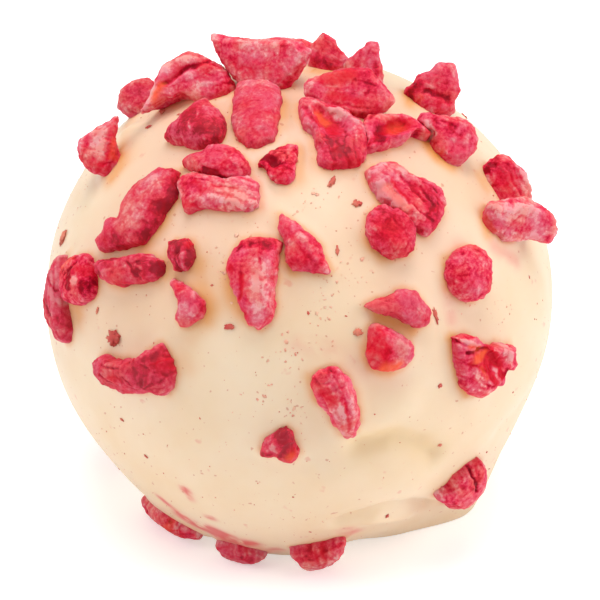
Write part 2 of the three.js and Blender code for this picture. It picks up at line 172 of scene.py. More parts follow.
# %% [markdown]
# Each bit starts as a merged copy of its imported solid. A voxel remesh gives it an even skin of small
# faces, as clay has, and a few rounds of smoothing take away the flat facets. That skin is what all
# the later shaping moves. A finished piece goes back to metres, rides on the truffle and takes the
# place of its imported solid.

# %% Making and finishing meshes
def mesh_from(bm, name):
    mesh = bpy.data.meshes.new(name)
    bm.to_mesh(mesh)
    bm.free()
    return mesh


def placed(name, data):
    """A new object in the scene, for a mesh, a lamp or a camera."""
    made = bpy.data.objects.new(name, data)
    bpy.context.scene.collection.objects.link(made)
    return made


def surface_tree(mesh):
    """A mesh's faces, ready to be hit by rays or asked for their nearest place."""
    return BVHTree.FromPolygons([v.co for v in mesh.vertices], [tuple(p.vertices) for p in mesh.polygons])


def merged_copy(node, name):
    """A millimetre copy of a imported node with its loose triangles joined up."""
    bm = bmesh.new()
    bm.from_mesh(nodes[node].data)
    bmesh.ops.scale(bm, vec=(MM, MM, MM), verts=bm.verts)
    bmesh.ops.remove_doubles(bm, verts=bm.verts, dist=1e-4)
    return mesh_from(bm, name)


def applied(mesh, kind, **settings):
    """The mesh with one modifier applied."""
    worker = placed("worker", mesh)
    modifier = worker.modifiers.new("step", kind)
    for name, value in settings.items():
        setattr(modifier, name, value)
    shaped = bpy.data.meshes.new_from_object(
        worker.evaluated_get(bpy.context.evaluated_depsgraph_get()))
    bpy.data.objects.remove(worker)
    return shaped


def finished(mesh, name, material, replaced=()):
    """Brings a millimetre mesh back to metres, as an object that rides on the truffle."""
    mesh.transform(Matrix.Scale(1 / MM, 4))
    mesh.shade_smooth()
    mesh.materials.clear()
    mesh.materials.append(material)
    mesh.name = name
    piece = placed(name, mesh)
    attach(piece, "root")
    for node in replaced:
        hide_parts(node)


print("meshes in the packed model:", len(bpy.data.meshes))


# %% The plain coat that the bits stick to
coat_clay = merged_copy("coat", "coat_clay")
coat_tree = surface_tree(coat_clay)


def coat_height(point):
    """How far a point lies above the plain coat."""
    near, normal, _, gap = coat_tree.find_nearest(point)
    return gap if (point - near).dot(normal) > 0 else -gap


print("a point 30 mm up lies above the coat by", round(coat_height(Vector((0, 0, 30))), 2), "mm")

# %% [markdown]
# What makes each bit itself is where it is dark, pale, glassy, folded or torn. Freeze-dried berry is
# thin skin and pulp: the pulp dries powdery and pale, the skin dries dark, folds dry into creases,
# juice dries to a vivid red, dust makes it dusky, and thin walls let light through and glow
# orange. These marks are laid down on the face of each bit like strokes of a brush. A stroke runs
# from one spot to another, in millimetres from the middle of the face, x to the right and y
# upwards, and fades out over its radius. A pull is a stroke that moves the clay itself within the
# face, which trims an outline.

# %% Brushes
EFFECTS = {  # what each brush adds to the tone, the height in millimetres and the colours
    "dark": {"tone": -0.8},
    "pale": {"tone": 0.65},
    "vivid": {"vivid": 1.0},
    "glow": {"glow": 1.0},
    "dusk": {"dusk": 1.0},
    # pit, hollow and crease also darken the tone where they sink, and ridge pales it where it rises: painted
    # shade and light of the relief, along with the skin's own colour
    "pit": {"height": -0.25, "tone": -0.5},
    "hollow": {"height": -0.5, "tone": -0.08},
    "crease": {"height": -0.1, "tone": -0.4},
    "ridge": {"height": 0.12, "tone": 0.4},
}


def spot_brush(effect):
    return lambda start, radius, amount=1.0, to=None: (effect, start, to or start, radius, amount)


def line_brush(effect, usual_radius):
    return lambda start, to, radius=usual_radius, amount=1.0: (effect, start, to, radius, amount)


dark, pale, vivid, glow = map(spot_brush, ("dark", "pale", "vivid", "glow"))
dusk, pit, hollow = map(spot_brush, ("dusk", "pit", "hollow"))
crease, ridge = line_brush("crease", 0.1), line_brush("ridge", 0.2)


def pull(start, by, radius, to=None):
    """Moves the clay near a spot or a line by so many millimetres to the right and upwards."""
    return "pull", start, to or start, radius, by


print("a stroke:", dark((1, 2), 0.5))

# %% Strokes on the bits of the crown, at the left
STROKES = {
    "shard_01": [
        pull((2.5, 1.6), (0, -0.25), 0.8), pull((-3.5, 1.1), (0.3, 0), 0.5),
        pale((-1, 0.65), 0.6, 0.65, (0.9, 0.5)), dark((-2.3, 0.55), 0.22, 0.5),
        dark((-1.6, -0.25), 0.22, 0.5), vivid((-1.7, -0.6), 0.45, 0.45, (0.8, -0.8)),
        dark((2.2, -1.1), 0.5, 0.5, (2.8, -0.2)), dark((1.35, 0.95), 0.22, 0.6, (1.6, 0.5)),
        pale((2.1, 0.6), 0.4, 0.4), pale((-2.9, 0.95), 0.3, 0.4)],
    "shard_02": [
        pull((-1, -2), (0, 0.5), 0.75), pull((0, -1.3), (0, 0.28), 0.6), pull((1.6, 1.7), (0, -0.25), 0.6),
        pull((-0.3, 1.6), (0.1, 0.28), 0.7), crease((1, 1.5), (-0.3, 0.4), 0.2, 2),
        crease((-0.3, 0.4), (-1.2, -0.5), 0.15, 1.3), vivid((-0.4, 0.5), 0.28, 0.8, (-1, -0.1)),
        glow((-1.4, -0.6), 0.3, 0.9, (-1.8, -1.4)), pale((-1.9, -0.4), 0.28, 1.1, (-2.4, -1.8)),
        pale((-0.3, 1.45), 0.3, 0.5, (-1.4, 0.3)), pale((0.4, 0.4), 0.3, 0.5, (-0.8, -0.8)),
        pale((1.3, -0.1), 0.25, 0.4, (0, -0.9)), dark((2.3, 0.4), 0.45, 0.5), dark((2.9, 0.9), 0.4),
        vivid((1.2, 1), 0.7, 0.5)],
    "drupelet_01": [
        pull((-1, 0.3), (-0.15, 0.05), 0.7), pull((0.1, 1.2), (0, 0.12), 0.6),
        dark((0.45, 0), 0.55, 0.35, (0.5, -0.8)), vivid((0, 0.9), 0.4, 0.4)],
    "husk_01": [
        pull((1.25, 1.7), (-0.42, 0), 0.6, (1.1, 0.6)), pull((-1.2, 0), (-0.2, 0.05), 0.7),
        pale((-0.1, 0.8), 0.45, 1.1, (-0.2, -0.7)), dark((-0.9, 0.5), 0.2, 0.6, (-1, -0.4)),
        pale((-1.2, 0.4), 0.25, 0.6, (-0.8, 1)), vivid((0.6, 0.8), 0.3, 0.8, (0.5, -0.8)),
        glow((0.7, 0.2), 0.22, 0.5, (0.6, -0.9)), vivid((-0.3, -1.4), 0.5, 0.8), dark((0.8, 1), 0.2, 0.6),
        vivid((-1.4, -0.8), 0.3, 0.7)],
    "drupelet_02": [
        pull((-1.7, 1.2), (0.75, 0), 0.9, (-1.5, -0.8)), pull((0.3, 1.35), (0, -0.12), 1),
        dark((2, -0.2), 0.9, 0.95, (2.6, 0)), dark((0.7, -0.2), 0.9, 0.25), pale((0.8, 0.8), 0.45, 0.55),
        pale((0.25, -2), 0.55, 0.6), vivid((-0.3, 0.2), 0.5, 0.4),
        pale((-0.5, -0.6), 0.18, 0.5, (-0.3, -1.4)), pale((0.4, 0.25), 0.08, 1, (0.8, -0.1)),
        pale((0.5, -0.5), 0.08, 1, (1, -0.8)), pale((1.9, -0.7), 0.1, 0.8)],
    "shard_03": [
        pull((1.3, 0.9), (-0.28, -0.08), 0.6, (2.4, -0.8)), pull((-2.1, 1.8), (-0.3, 0.12), 0.7),
        pale((-2, 1.9), 0.6, 0.95, (-1, 2.3)), pale((-1.7, 0.6), 0.35, 0.5), dark((0.9, -2.3), 0.9, 0.35),
        dark((2.4, -1.6), 0.3, 0.5, (1.9, -3)), vivid((1.3, -0.6), 0.6, 0.25)],
    "shard_04": [
        pull((-1.4, 0.3), (0.42, -0.28), 0.5), pull((2.2, -0.3), (-0.2, 0), 0.5),
        dark((-0.3, -1.05), 0.2, 1.25, (1.8, -1.2)), crease((-0.3, -0.95), (1.6, -1.05), 0.15),
        pale((-1.6, -0.7), 0.4, 0.9), pale((0.5, 0.45), 0.18, 0.4, (1.8, -0.3)), vivid((0.3, 0.1), 1, 0.35)],
    "strand_01": [
        pull((-1.3, -1.7), (-0.12, -0.32), 0.6), dark((-1.6, -0.2), 0.75, 0.45),
        vivid((-1.5, -1.4), 0.45, 0.7, (-0.6, -1.6)), vivid((-1.4, 0.1), 0.25, 0.8, (-0.7, -0.4)),
        pale((-0.2, 0.4), 0.09, 0.35, (2, 0.55)), pale((0.2, -0.1), 0.09, 0.35, (2.3, -0.05)),
        pale((-0.1, -0.55), 0.09, 0.3, (2.4, -0.6)), vivid((-0.3, 0.2), 0.08, 0.6, (1.7, 0.22)),
        crease((-0.2, 0.2), (1.2, 0.2), 0.08, 0.45), crease((0.3, -0.3), (1.8, -0.34), 0.08, 0.4),
        vivid((0.2, -0.3), 0.08, 0.5, (1.9, -0.34)), pale((2.7, -0.2), 0.4, 0.5),
        pale((1.3, -0.2), 0.9, 0.55), dark((-0.3, -1.6), 0.2, 0.5, (1.4, -1.3)),
        dusk((1.6, 0.7), 0.3, 0.3, (2.4, 0.3))],
    "drupelet_03": [
        pull((1.1, -0.2), (-0.12, 0), 0.9), pit((-0.3, -0.2), 0.42, 1.3), dark((-0.9, 0.05), 0.35, 0.8),
        vivid((0.1, -1), 0.5, 0.9), vivid((-0.5, -0.6), 0.4, 0.6), pale((0.65, 0.3), 0.35, 0.4, (0.5, 1))],
}
print("bits with strokes of their own:", len(STROKES))

# %% Strokes on the bits of the left side and the top
STROKES.update({
    "shard_05": [
        pull((-1.2, 0.2), (0.32, -0.05), 0.6, (-0.8, 2)), pull((-1.5, -2.4), (0.42, 0), 0.6),
        pull((-1.2, -0.8), (0.6, 0), 0.5), pull((2.85, 0.6), (-0.28, 0), 0.5, (2.5, -1.4)),
        pale((0.3, 2), 0.9, 0.6, (0.3, -1)), dark((1.5, 3), 0.5, 1.4, (2.1, 1.4)),
        dark((2, 1), 0.52, 1.1, (1.9, -1.2)), dark((0.6, -2.5), 0.6, 0.7), vivid((-0.7, -2.2), 0.5, 0.4),
        dark((-0.1, -1.9), 0.25, 0.5, (0.4, -2.8))],
    "strand_02": [
        dark((2.5, 1), 0.6, 1.5), pit((1.2, 0.2), 0.32, 0.9), pale((1.85, 0.85), 0.12, 0.8),
        pale((-1.2, -0.5), 0.25, 0.4, (0.2, 0.3)), crease((0.3, 0.35), (1.5, -0.1), 0.1, 0.8),
        vivid((-1.3, -0.7), 0.6, 0.4, (0, -0.6)), ridge((0.9, 0.5), (1.5, 0.5), 0.08, 0.8)],
    "drupelet_04": [
        pull((-0.6, -0.8), (0.22, 0.18), 0.6), pull((-0.4, 0.95), (0.05, -0.22), 0.4),
        pit((0, 0.1), 0.28, 1.3), ridge((0.4, 0.15), (0.6, -0.1), 0.22, 1.3),
        dark((0.9, 0.5), 0.25, 0.7, (1.05, -0.4)), vivid((0.5, 0.75), 0.25, 0.7),
        pale((-0.6, 0.2), 0.25, 0.5), crease((0, -0.35), (0.3, -0.95), 0.14, 1.2),
        ridge((0.6, -0.6), (0.7, -0.8), 0.15)],
    "drupelet_05": [
        pale((0.75, 0.3), 0.36, 1.7), vivid((0.2, 1), 0.25, 0.8, (1.2, 1.1)),
        dark((0, 0.6), 0.2, 0.7, (0.3, -0.4)), dark((1.4, 0.9), 0.18, 0.4, (1.5, -0.3)),
        ridge((0.9, 0.4), (0.8, 0.35), 0.32, 1.5), dark((1.9, 0.6), 0.3, 0.4, (1.6, 1.3)),
        dark((0.1, 0.3), 0.28, 0.6, (0.4, -0.3)), vivid((0.3, 0.2), 1, 0.3),
        glow((-1.2, 0.3), 0.25, 0.5, (-0.7, 1)), crease((0, 1.2), (-0.4, 0), 0.12),
        pale((2.7, 0.6), 0.3, 0.5)],
    "strand_03": [
        pull((0.6, -1.8), (0, 0.4), 0.9), pull((-1.4, 0.5), (0.35, 0), 0.8),
        crease((0.5, 1.85), (1.6, 1.6), 0.15, 1.2), crease((-0.4, 0), (0.8, -0.4), 0.13),
        pale((0.2, 0.7), 0.15, 0.6, (1.5, 0.3)), pale((-0.2, -0.6), 0.15, 0.6, (1, -0.8)),
        dark((1.5, -0.5), 0.4, 0.4), glow((0.2, 2.6), 0.6, 0.35), pale((-0.7, 1), 0.3, 0.4, (-0.6, 0)),
        crease((-0.8, 1.3), (0.3, 1.1), 0.12)],
    "shard_06": [
        pull((0.9, -1.1), (-0.12, 0.22), 0.6), pale((0.15, -0.4), 0.55, 0.85),
        dark((0.8, 0.65), 0.22, 0.6, (1.25, -0.1)), vivid((-0.7, 1.1), 0.3, 0.45, (0.2, 0.5)),
        dark((1, -0.6), 0.18, 0.5), ridge((0.35, 0.85), (0.5, 0.6), 0.14, 1.2)],
    "strand_04": [
        pull((-1.7, 0.8), (-0.15, 0.05), 0.5), pull((1.5, -0.8), (-0.2, 0), 0.8),
        dark((-1, 1.95), 0.4, 0.6, (1.3, 2.1)), vivid((-1.4, 0.45), 0.28, 1.1), dark((-1.4, 0.5), 0.2, 0.5),
        vivid((-0.75, 0), 0.17, 1.2, (-0.7, -1.3)), crease((-0.8, 0.1), (-0.75, -1.2), 0.12, 0.8),
        pale((0.4, 0.7), 0.65, 1, (0.6, -2.3)), pale((-0.2, 0.9), 0.35, 0.6, (-0.1, -0.4)),
        vivid((-0.9, -1.6), 0.3, 0.5, (-0.3, -2.5)), crease((0.2, 1.1), (0.3, 0.3), 0.08, 0.6),
        vivid((0.2, 1.6), 0.5, 0.3)],
    "shard_07": [
        pull((-1.3, 1.2), (-0.22, 0), 0.6), pull((1.4, -1.5), (0.25, 0), 0.5), dark((-0.5, -0.8), 0.33, 0.8),
        vivid((-0.4, -0.7), 0.55, 0.6), pale((-0.5, 1.6), 0.25, 0.45, (0.1, 0.2)),
        vivid((-1, 1.5), 0.2, 0.5, (-0.6, 0.4)), ridge((0.1, 0.6), (0.8, -0.7), 0.2, 0.5),
        pale((1, -0.2), 0.2, 0.4, (1.5, -1.5))],
    "shard_08": [
        pull((0.3, 1.3), (-0.32, -0.05), 0.5), pull((0.9, 0.3), (-0.22, -0.05), 0.6),
        dark((-0.1, 1), 0.3, 0.5), dark((0.5, 0), 0.5, 0.25), dark((-1, -0.5), 0.3, 0.6, (0, -0.75)),
        vivid((-0.3, 0.3), 0.6, 0.3)],
    "shard_09": [
        pull((-0.2, 1.3), (0.06, -0.08), 0.5), dark((0.65, 0.1), 0.2, 0.9, (0.85, -0.7)),
        dark((-0.3, 0.8), 0.18, 0.4), pale((-1.1, -0.1), 0.35), vivid((-0.6, -0.6), 0.4, 0.7, (-0.8, -1.1)),
        pale((0.5, 1.1), 0.3, 0.4)],
})
print("bits with strokes of their own:", len(STROKES))

# %% Strokes on the bits of the crown, at the right
STROKES.update({
    "shard_10": [
        pale((-2.5, 0.3), 0.28, 1.1, (-2, 0.9)), vivid((-1.5, 0.8), 0.45, 1.1, (0.2, 0.9)),
        vivid((-1.2, -0.3), 0.3, 0.9, (0.5, -0.7)), pale((-1.8, 0.3), 0.1, 0.6, (-0.2, 0.4)),
        pale((-0.5, 0), 0.09, 0.5, (0.8, -0.1)), dark((1.3, -1.2), 0.5, 0.4), dark((0.3, 1.2), 0.25, 0.4),
        dark((-0.2, 0.7), 0.2, 0.35), crease((0.3, 0.5), (1.6, 0.1), 0.09, 0.5), pale((1.7, 0.2), 0.4, 0.35),
        crease((-1, -0.75), (0.6, -1.2), 0.09, 0.5), dark((0.9, -0.2), 0.2, 0.4)],
    "husk_02": [
        pull((-1.8, 0.2), (0.4, 0), 0.6, (-1.7, -1)), pull((0, -3.5), (0, 0.32), 1.1),
        hollow((-0.1, 1.5), 0.75, 0.9, (0.3, 0.3)), glow((-0.5, 1.4), 0.3, 0.9, (-0.2, 0.7)),
        vivid((0.1, 0.1), 0.42, 1.3), vivid((-0.7, 1.8), 0.25, 0.8, (-0.7, 0.4)),
        pale((0.4, 1.5), 0.35, 1, (0.7, 0.7)), dark((0.5, 0.5), 0.2, 0.6, (0.9, 0)),
        ridge((-0.5, 2.4), (0.8, 1.4), 0.22), ridge((0.8, 1.4), (1.45, 0.3), 0.25, 1.2),
        crease((-1.25, 2.3), (-0.9, 0.2), 0.14, 1.2), pale((-1.45, 1.4), 0.15, 0.7, (-1.3, 0)),
        dark((-0.4, -1), 0.7, 0.6, (0.5, -2.2)), vivid((-0.9, -2.7), 0.3, 0.6, (1, -2.6)),
        crease((-0.9, -0.6), (-0.6, -2.7), 0.09, 0.7), crease((-0.4, -0.3), (-0.5, -1.9), 0.09, 0.6),
        crease((-0.2, -1.1), (0.3, -2.7), 0.09, 0.7), crease((0.6, -0.2), (0.1, -1.7), 0.09, 0.7),
        crease((1, -0.5), (0.7, -2.5), 0.09, 0.6), dark((0.1, -0.7), 0.25, 0.5),
        dark((-0.6, -2.2), 0.22, 0.5, (0.4, -2)), dusk((0.1, -1.5), 1, 0.9)],
    "husk_03": [
        pull((1.3, -1.9), (0, 0.7), 0.8), pull((-2.6, -1.1), (0, 0.75), 0.85, (0.8, -1.9)),
        hollow((-1.2, 0.5), 0.5, 0.9, (0.5, 0.2)), dark((-1.1, 0.75), 0.42, 1.4, (-1.7, 0.1)),
        vivid((-0.3, 0.3), 0.6, 1.2, (0.5, 0.1)), dark((-0.2, 0.6), 0.2, 0.5, (0.3, 0.4)),
        glow((-0.2, 0.2), 0.4, 0.45, (0.4, 0.1)), pale((-2.7, -0.2), 0.16, 0.7, (0.9, -0.85)),
        ridge((-0.6, 1.4), (1.4, 0.5), 0.16, 0.5), pale((1.6, -0.9), 0.3, 1.1), vivid((1.2, 0), 0.4, 0.5)],
    "shard_11": [
        pull((-1.4, 1), (0.1, -0.6), 0.7), pull((-0.2, 1.35), (0.05, -0.28), 0.5),
        pull((1.1, 1.1), (0.5, 0.05), 0.6, (1.2, -0.1)), dark((-1.5, -0.3), 0.32, 1.2, (-1.2, -0.8)),
        dark((-1, 0.1), 0.38, 0.9), crease((-0.5, -0.3), (0.8, -0.95), 0.2, 1.5),
        glow((-0.9, -0.6), 0.2, 0.4), pale((1.4, 0.8), 0.4, 0.4), vivid((0.4, 0.4), 0.6, 0.5),
        vivid((0.2, -1.2), 0.4, 0.3)],
    "husk_04": [
        dark((0.25, 0.4), 0.3, 0.4, (-0.3, 0.1)), pale((0, -0.35), 0.18, 0.9),
        pale((0.75, -0.6), 0.22, 1.3, (0.85, -0.35)), pale((-1.4, 1), 0.2, 1.3, (-1.15, 0.1)),
        glow((-0.9, -0.9), 0.2, 0.5), vivid((0.2, -0.9), 0.8, 0.4),
        crease((-0.5, 0.9), (0.2, 0.3), 0.1, 0.7), dark((0.4, -0.2), 0.25, 0.35)],
    "husk_05": [
        pull((-2.6, 1.3), (0.2, 0), 0.5), pull((0, -2.6), (0.1, -0.22), 0.8),
        hollow((-1.5, 1), 0.35, 0.2, (-0.8, -0.6)), glow((-1.6, 0.9), 0.32, 0.6, (-0.9, -0.8)),
        pale((-1.7, 1.1), 0.36, 1.3, (-1, -0.6)), pale((-1.4, 1.9), 0.5, 0.5, (-0.4, 1.5)),
        vivid((-2.3, 0.9), 0.14, 1, (-1.3, -1.2)), dark((-2.3, 0.8), 0.12, 0.9, (-1.3, -1.3)),
        vivid((-1.1, 1), 0.12, 0.8, (-0.5, -0.4)), dark((-1, 1.1), 0.1, 0.5, (-0.5, -0.5)),
        dark((1.2, -0.6), 0.6, 0.8, (0.4, -2.2)), pale((0.1, -0.6), 0.25, 0.5, (0.2, -1.4)),
        crease((-0.2, 1.2), (0.4, -0.8), 0.12, 0.9), dark((-0.6, -2.3), 0.4, 0.7),
        crease((0.6, 0.2), (0.9, -1.4), 0.1, 0.9), crease((-0.4, -0.9), (0.3, -2.2), 0.1, 0.8),
        crease((1, 0.4), (1.6, -0.6), 0.1, 0.7), crease((0.2, -1.6), (1.2, -1.2), 0.1, 0.7)],
    "drupelet_06": [
        pull((0.35, 1.5), (0, -0.3), 0.4), pit((-0.4, 0.2), 0.4, 0.7), dark((-0.5, -0.2), 0.5, 0.35),
        vivid((-0.3, -0.1), 1.4, 0.75), pale((-1.2, 0.4), 0.3, 0.35), pale((-0.5, -0.7), 0.15, 0.5),
        dark((-0.1, 0.6), 0.15, 0.5)],
    "drupelet_07": [
        pull((1.3, -0.5), (-0.28, 0), 0.6), pull((0.2, 1.7), (0.08, 0.18), 0.5),
        dark((-1.7, 1), 0.28, 1.1, (-0.6, 1.6)), vivid((-0.4, 0.2), 0.9, 0.9), pale((-1.1, 0.6), 0.15, 0.6),
        pale((0.65, 1), 0.28, 1.15, (0.8, -0.8)), crease((-0.3, 0.8), (0, -1), 0.09, 0.6),
        pale((0.3, 0.6), 0.07, 0.7, (0.35, -0.7))],
    "strand_05": [
        pull((-2.6, 0.2), (-0.32, -0.18), 0.6), pull((1.8, -1.7), (-0.12, -0.1), 0.5),
        pale((-1.8, 1.2), 0.4, 0.7, (0.6, 0.9)), glow((-2.7, 0.6), 0.3, 0.5, (-2.4, 0)),
        vivid((-2.3, 0.6), 0.35, 0.4), dark((-1.2, 0.1), 0.4, 0.22, (0.1, -0.2)),
        dark((1.6, -1.1), 0.5, 0.35, (1.4, -0.2)), pale((0.7, -1.1), 0.2, 0.6, (0.2, -0.7))],
    "drupelet_08": [
        pull((1.2, -0.6), (-0.22, 0.15), 0.8), vivid((-1.6, 0.2), 0.5, 0.4, (-1, -0.4)),
        pale((0.3, 0.9), 0.4, 0.3), pale((-0.9, 1.2), 0.3, 0.25), vivid((0.1, -0.8), 0.6, 0.25)],
})
print("bits with strokes of their own:", len(STROKES))

# %% Strokes on the bits of the belly and the foot
STROKES.update({
    "shard_12": [
        dark((-2, 0.6), 0.5, 0.35, (-1.3, 0.5)), crease((-1.4, -0.05), (-0.3, -0.7), 0.14, 1.2),
        pale((0.9, 0.3), 0.6, 0.25), dark((1.3, -0.9), 0.2, 0.4, (0.7, -1.2)), dark((0.6, 1.05), 0.14, 0.5)],
    "strand_06": [
        pull((-1.5, -0.2), (-0.22, 0), 0.7), pull((0.2, -1.35), (0, 0.18), 0.8),
        pull((-1.2, 1.8), (-0.18, 0.08), 0.5), vivid((-0.9, 1), 0.62, 1.5, (-0.9, -0.6)),
        dark((-0.42, 0.35), 0.26, 0.7, (-0.4, -0.4)), dark((-1.2, 0.4), 0.3, 0.5),
        pale((0.65, 0.5), 0.5, 0.75, (0.6, -0.7)), dusk((0.65, 0.6), 0.6, 0.9, (0.6, -0.5)),
        glow((-0.5, -0.95), 0.36, 1, (0.3, -1)), pale((-1.2, 1.6), 0.35, 0.7)],
    "husk_06": [
        pull((2.4, -0.3), (-0.42, 0.2), 0.6), pull((1.5, -1.4), (-0.3, 0.62), 0.5),
        pull((0.9, -2), (-0.1, 0.5), 0.5), pull((0, -2), (0, 0.28), 0.4), pull((2.2, 0.6), (-0.25, 0), 0.5),
        pull((1.2, 1.2), (0, 0.3), 0.4), hollow((-1.1, 1.3), 0.4, 0.35, (0, 0.4)),
        crease((-2.4, 2.4), (-1, 1.5), 0.12, 1.5), pale((-1.9, 2.2), 0.22, 1.5, (-1.2, 1.7)),
        glow((-1.6, 1.9), 0.22, 0.8, (-1, 1.55)), crease((-1.9, 1.5), (-0.3, 1.4), 0.1, 1.4),
        glow((-1.3, 1), 0.28, 1.2, (-0.6, 1)), vivid((-1.2, 0.8), 0.5, 0.7, (-0.3, 0.6)),
        vivid((-0.3, 1.35), 0.3, 1.6, (0.5, 0.1)), dark((-0.3, 1.3), 0.3, 1, (0.5, 0.1)),
        crease((-1.9, 0.9), (-0.6, 0)), vivid((-1.7, 0.9), 0.2, 0.9, (-0.7, 0.1)),
        vivid((-0.5, 0.6), 0.26, 1.6, (0.2, -1.2)), dark((-0.5, 0.6), 0.18, 1, (0.1, -1.2)),
        vivid((0.5, 0.1), 0.2, 1.2, (0.7, -1)), dark((0.5, 0.1), 0.14, 0.9, (0.7, -1)),
        pale((-1.6, 0.3), 0.2, 1.1, (-0.8, -0.9)), pale((0.25, -0.2), 0.14, 1.1, (0.45, -0.9)),
        glow((-1, 0.3), 0.16, 0.5, (-0.5, -0.5)), pale((1.3, 0.9), 0.5, 1.7, (1.6, 0.2)),
        dusk((1.3, 0.5), 0.6, 0.5), dark((0.9, -0.9), 0.22, 0.9, (1.2, -0.6)),
        vivid((-2.6, 1.8), 0.35, 0.9, (-2.5, 0.2)), dark((-2.7, 1.9), 0.2, 0.9, (-2.5, 0)),
        crease((-1.2, -0.3), (-0.3, -1.3), 0.1, 0.8)],
    "strand_07": [
        pull((-0.2, -1.6), (-0.2, -0.08), 0.5), pull((0.2, -2.3), (-0.18, -0.1), 0.4),
        dusk((-0.5, 1.4), 0.9, 0.7), dark((-1.4, 1.3), 0.22, 0.8, (-0.6, 2.2)),
        crease((-1.2, 1.2), (-0.2, 1.8), 0.1, 0.7), crease((-0.9, 0.8), (0.3, 1.2), 0.1, 0.6),
        crease((-0.4, 2.2), (0.3, 0.9), 0.1, 0.6), vivid((-0.9, 0.9), 0.38, 1.4, (-0.4, 0.3)),
        dark((-0.9, 0.8), 0.24, 0.7, (-0.4, 0.5)), pale((-0.05, 0.4), 0.09, 1.4, (0.2, -0.9)),
        pale((-0.1, -0.6), 0.5, 1.4, (0.4, -1.9)), pale((0.7, 0.4), 0.2, 0.9, (0.85, -1.4)),
        dusk((0.1, -0.8), 0.5, 0.35, (0.5, -2)), vivid((0.35, 0), 0.1, 0.9, (0.6, -1.9)),
        vivid((-0.3, -0.5), 0.1, 0.7, (0.15, -1.8)), dark((0.35, 0), 0.09, 0.5, (0.6, -1.9)),
        crease((0.4, 0.4), (0.5, -0.6), 0.1, 0.6)],
    "shard_13": [
        pull((-2, -0.4), (0.3, 0.18), 0.6, (0.5, -2.2)), pale((0.9, 0.2), 0.5, 0.9, (1.4, -1.6)),
        crease((-1, 2.6), (-0.2, 1), 0.13, 2), dark((-1.2, 0.6), 0.3, 0.3), vivid((-0.4, -0.2), 0.6, 0.4)],
    "shard_14": [
        pull((-1.2, -1.35), (0, 0.28), 0.6, (1.6, -1)), dark((0.2, 1.2), 0.3, 0.4, (-0.6, 0.2)),
        crease((-2.2, 0.1), (-0.6, 0.4), 0.1, 0.8), vivid((2.4, 1.4), 0.7, 0.8),
        pale((-1.6, -0.5), 0.3, 0.5), pale((2.9, 0.6), 0.25, 0.5), crease((1, 1.1), (1.7, 0.9), 0.1, 0.6),
        dark((1.4, 0), 0.4, 0.4), crease((-2, -0.5), (-0.9, -0.8), 0.09, 0.8),
        crease((-0.2, -0.1), (0.6, -0.6), 0.09, 0.8), dark((0.7, 0.6), 0.3, 0.6),
        dark((1.7, 1.7), 0.2, 0.6, (2, 1.2)), vivid((-0.9, -0.4), 0.35, 0.6),
        dark((1.2, 1.5), 0.25, 0.7, (2, 2.2)), crease((2.3, 0.2), (2.9, 1.2), 0.1, 0.8),
        crease((1.4, -0.4), (2, 0.1), 0.09, 0.7)],
    "drupelet_09": [
        pull((1.1, 0.2), (-0.18, 0), 0.7), pull((-0.5, -0.75), (0, 0.18), 0.5),
        pull((-0.6, 1.3), (0.12, -0.12), 0.5), pale((-0.65, 0.35), 0.4, 0.9),
        dark((0.1, 1.1), 0.42, 1.1, (0.4, 0.1)), glow((0.6, -0.35), 0.28, 0.7), vivid((0.7, -0.1), 0.3, 0.8),
        dark((-0.9, -0.4), 0.25, 0.8), pale((0.1, 0.45), 0.14, 0.9), pale((0.35, 1.2), 0.12, 0.6),
        dark((-0.35, 0.9), 0.16, 0.7), vivid((-0.2, 0.2), 0.2, 0.7), dark((0, -0.2), 0.2, 0.8)],
    "shard_15": [
        crease((-1.8, 0.2), (1.2, -0.1), 0.12), glow((-1, -0.9), 0.3, 0.5, (1.2, 0.9)),
        pale((-0.4, -1), 0.25, 0.35, (2, 0.8)), vivid((-2, -0.6), 0.6, 0.8, (1.5, 0.2)),
        dark((2.2, 0), 0.6, 0.7)],
    "shard_16": [
        dark((0.8, 0.5), 0.4), vivid((-0.3, 1.5), 0.7, 0.8), pale((0.9, 1.4), 0.25, 0.9, (0.5, -0.4)),
        dark((0.3, 1), 0.2, 0.6, (0, 2.4)), glow((0, -0.6), 0.4, 0.5)],
    "husk_07": [
        dark((-0.8, 0.9), 0.25), dark((0.2, 1), 0.25), glow((0, -1.3), 0.4, 0.6), pale((0, 0), 0.7, 0.4),
        pull((0, -1.8), (0, 0.3), 0.7), pull((-1.4, 0.2), (0.2, 0), 0.8),
        pale((0.35, 2.2), 0.12, 0.4, (0.5, -0.9)), vivid((0.05, 2.4), 0.14, 0.9, (0.1, -0.8)),
        dark((0.5, 1.2), 0.3, 0.6, (0.4, 2.6)), vivid((-0.5, 2.2), 0.1, 0.8, (-0.1, -0.9))],
})
print("bits with strokes of their own:", len(STROKES))

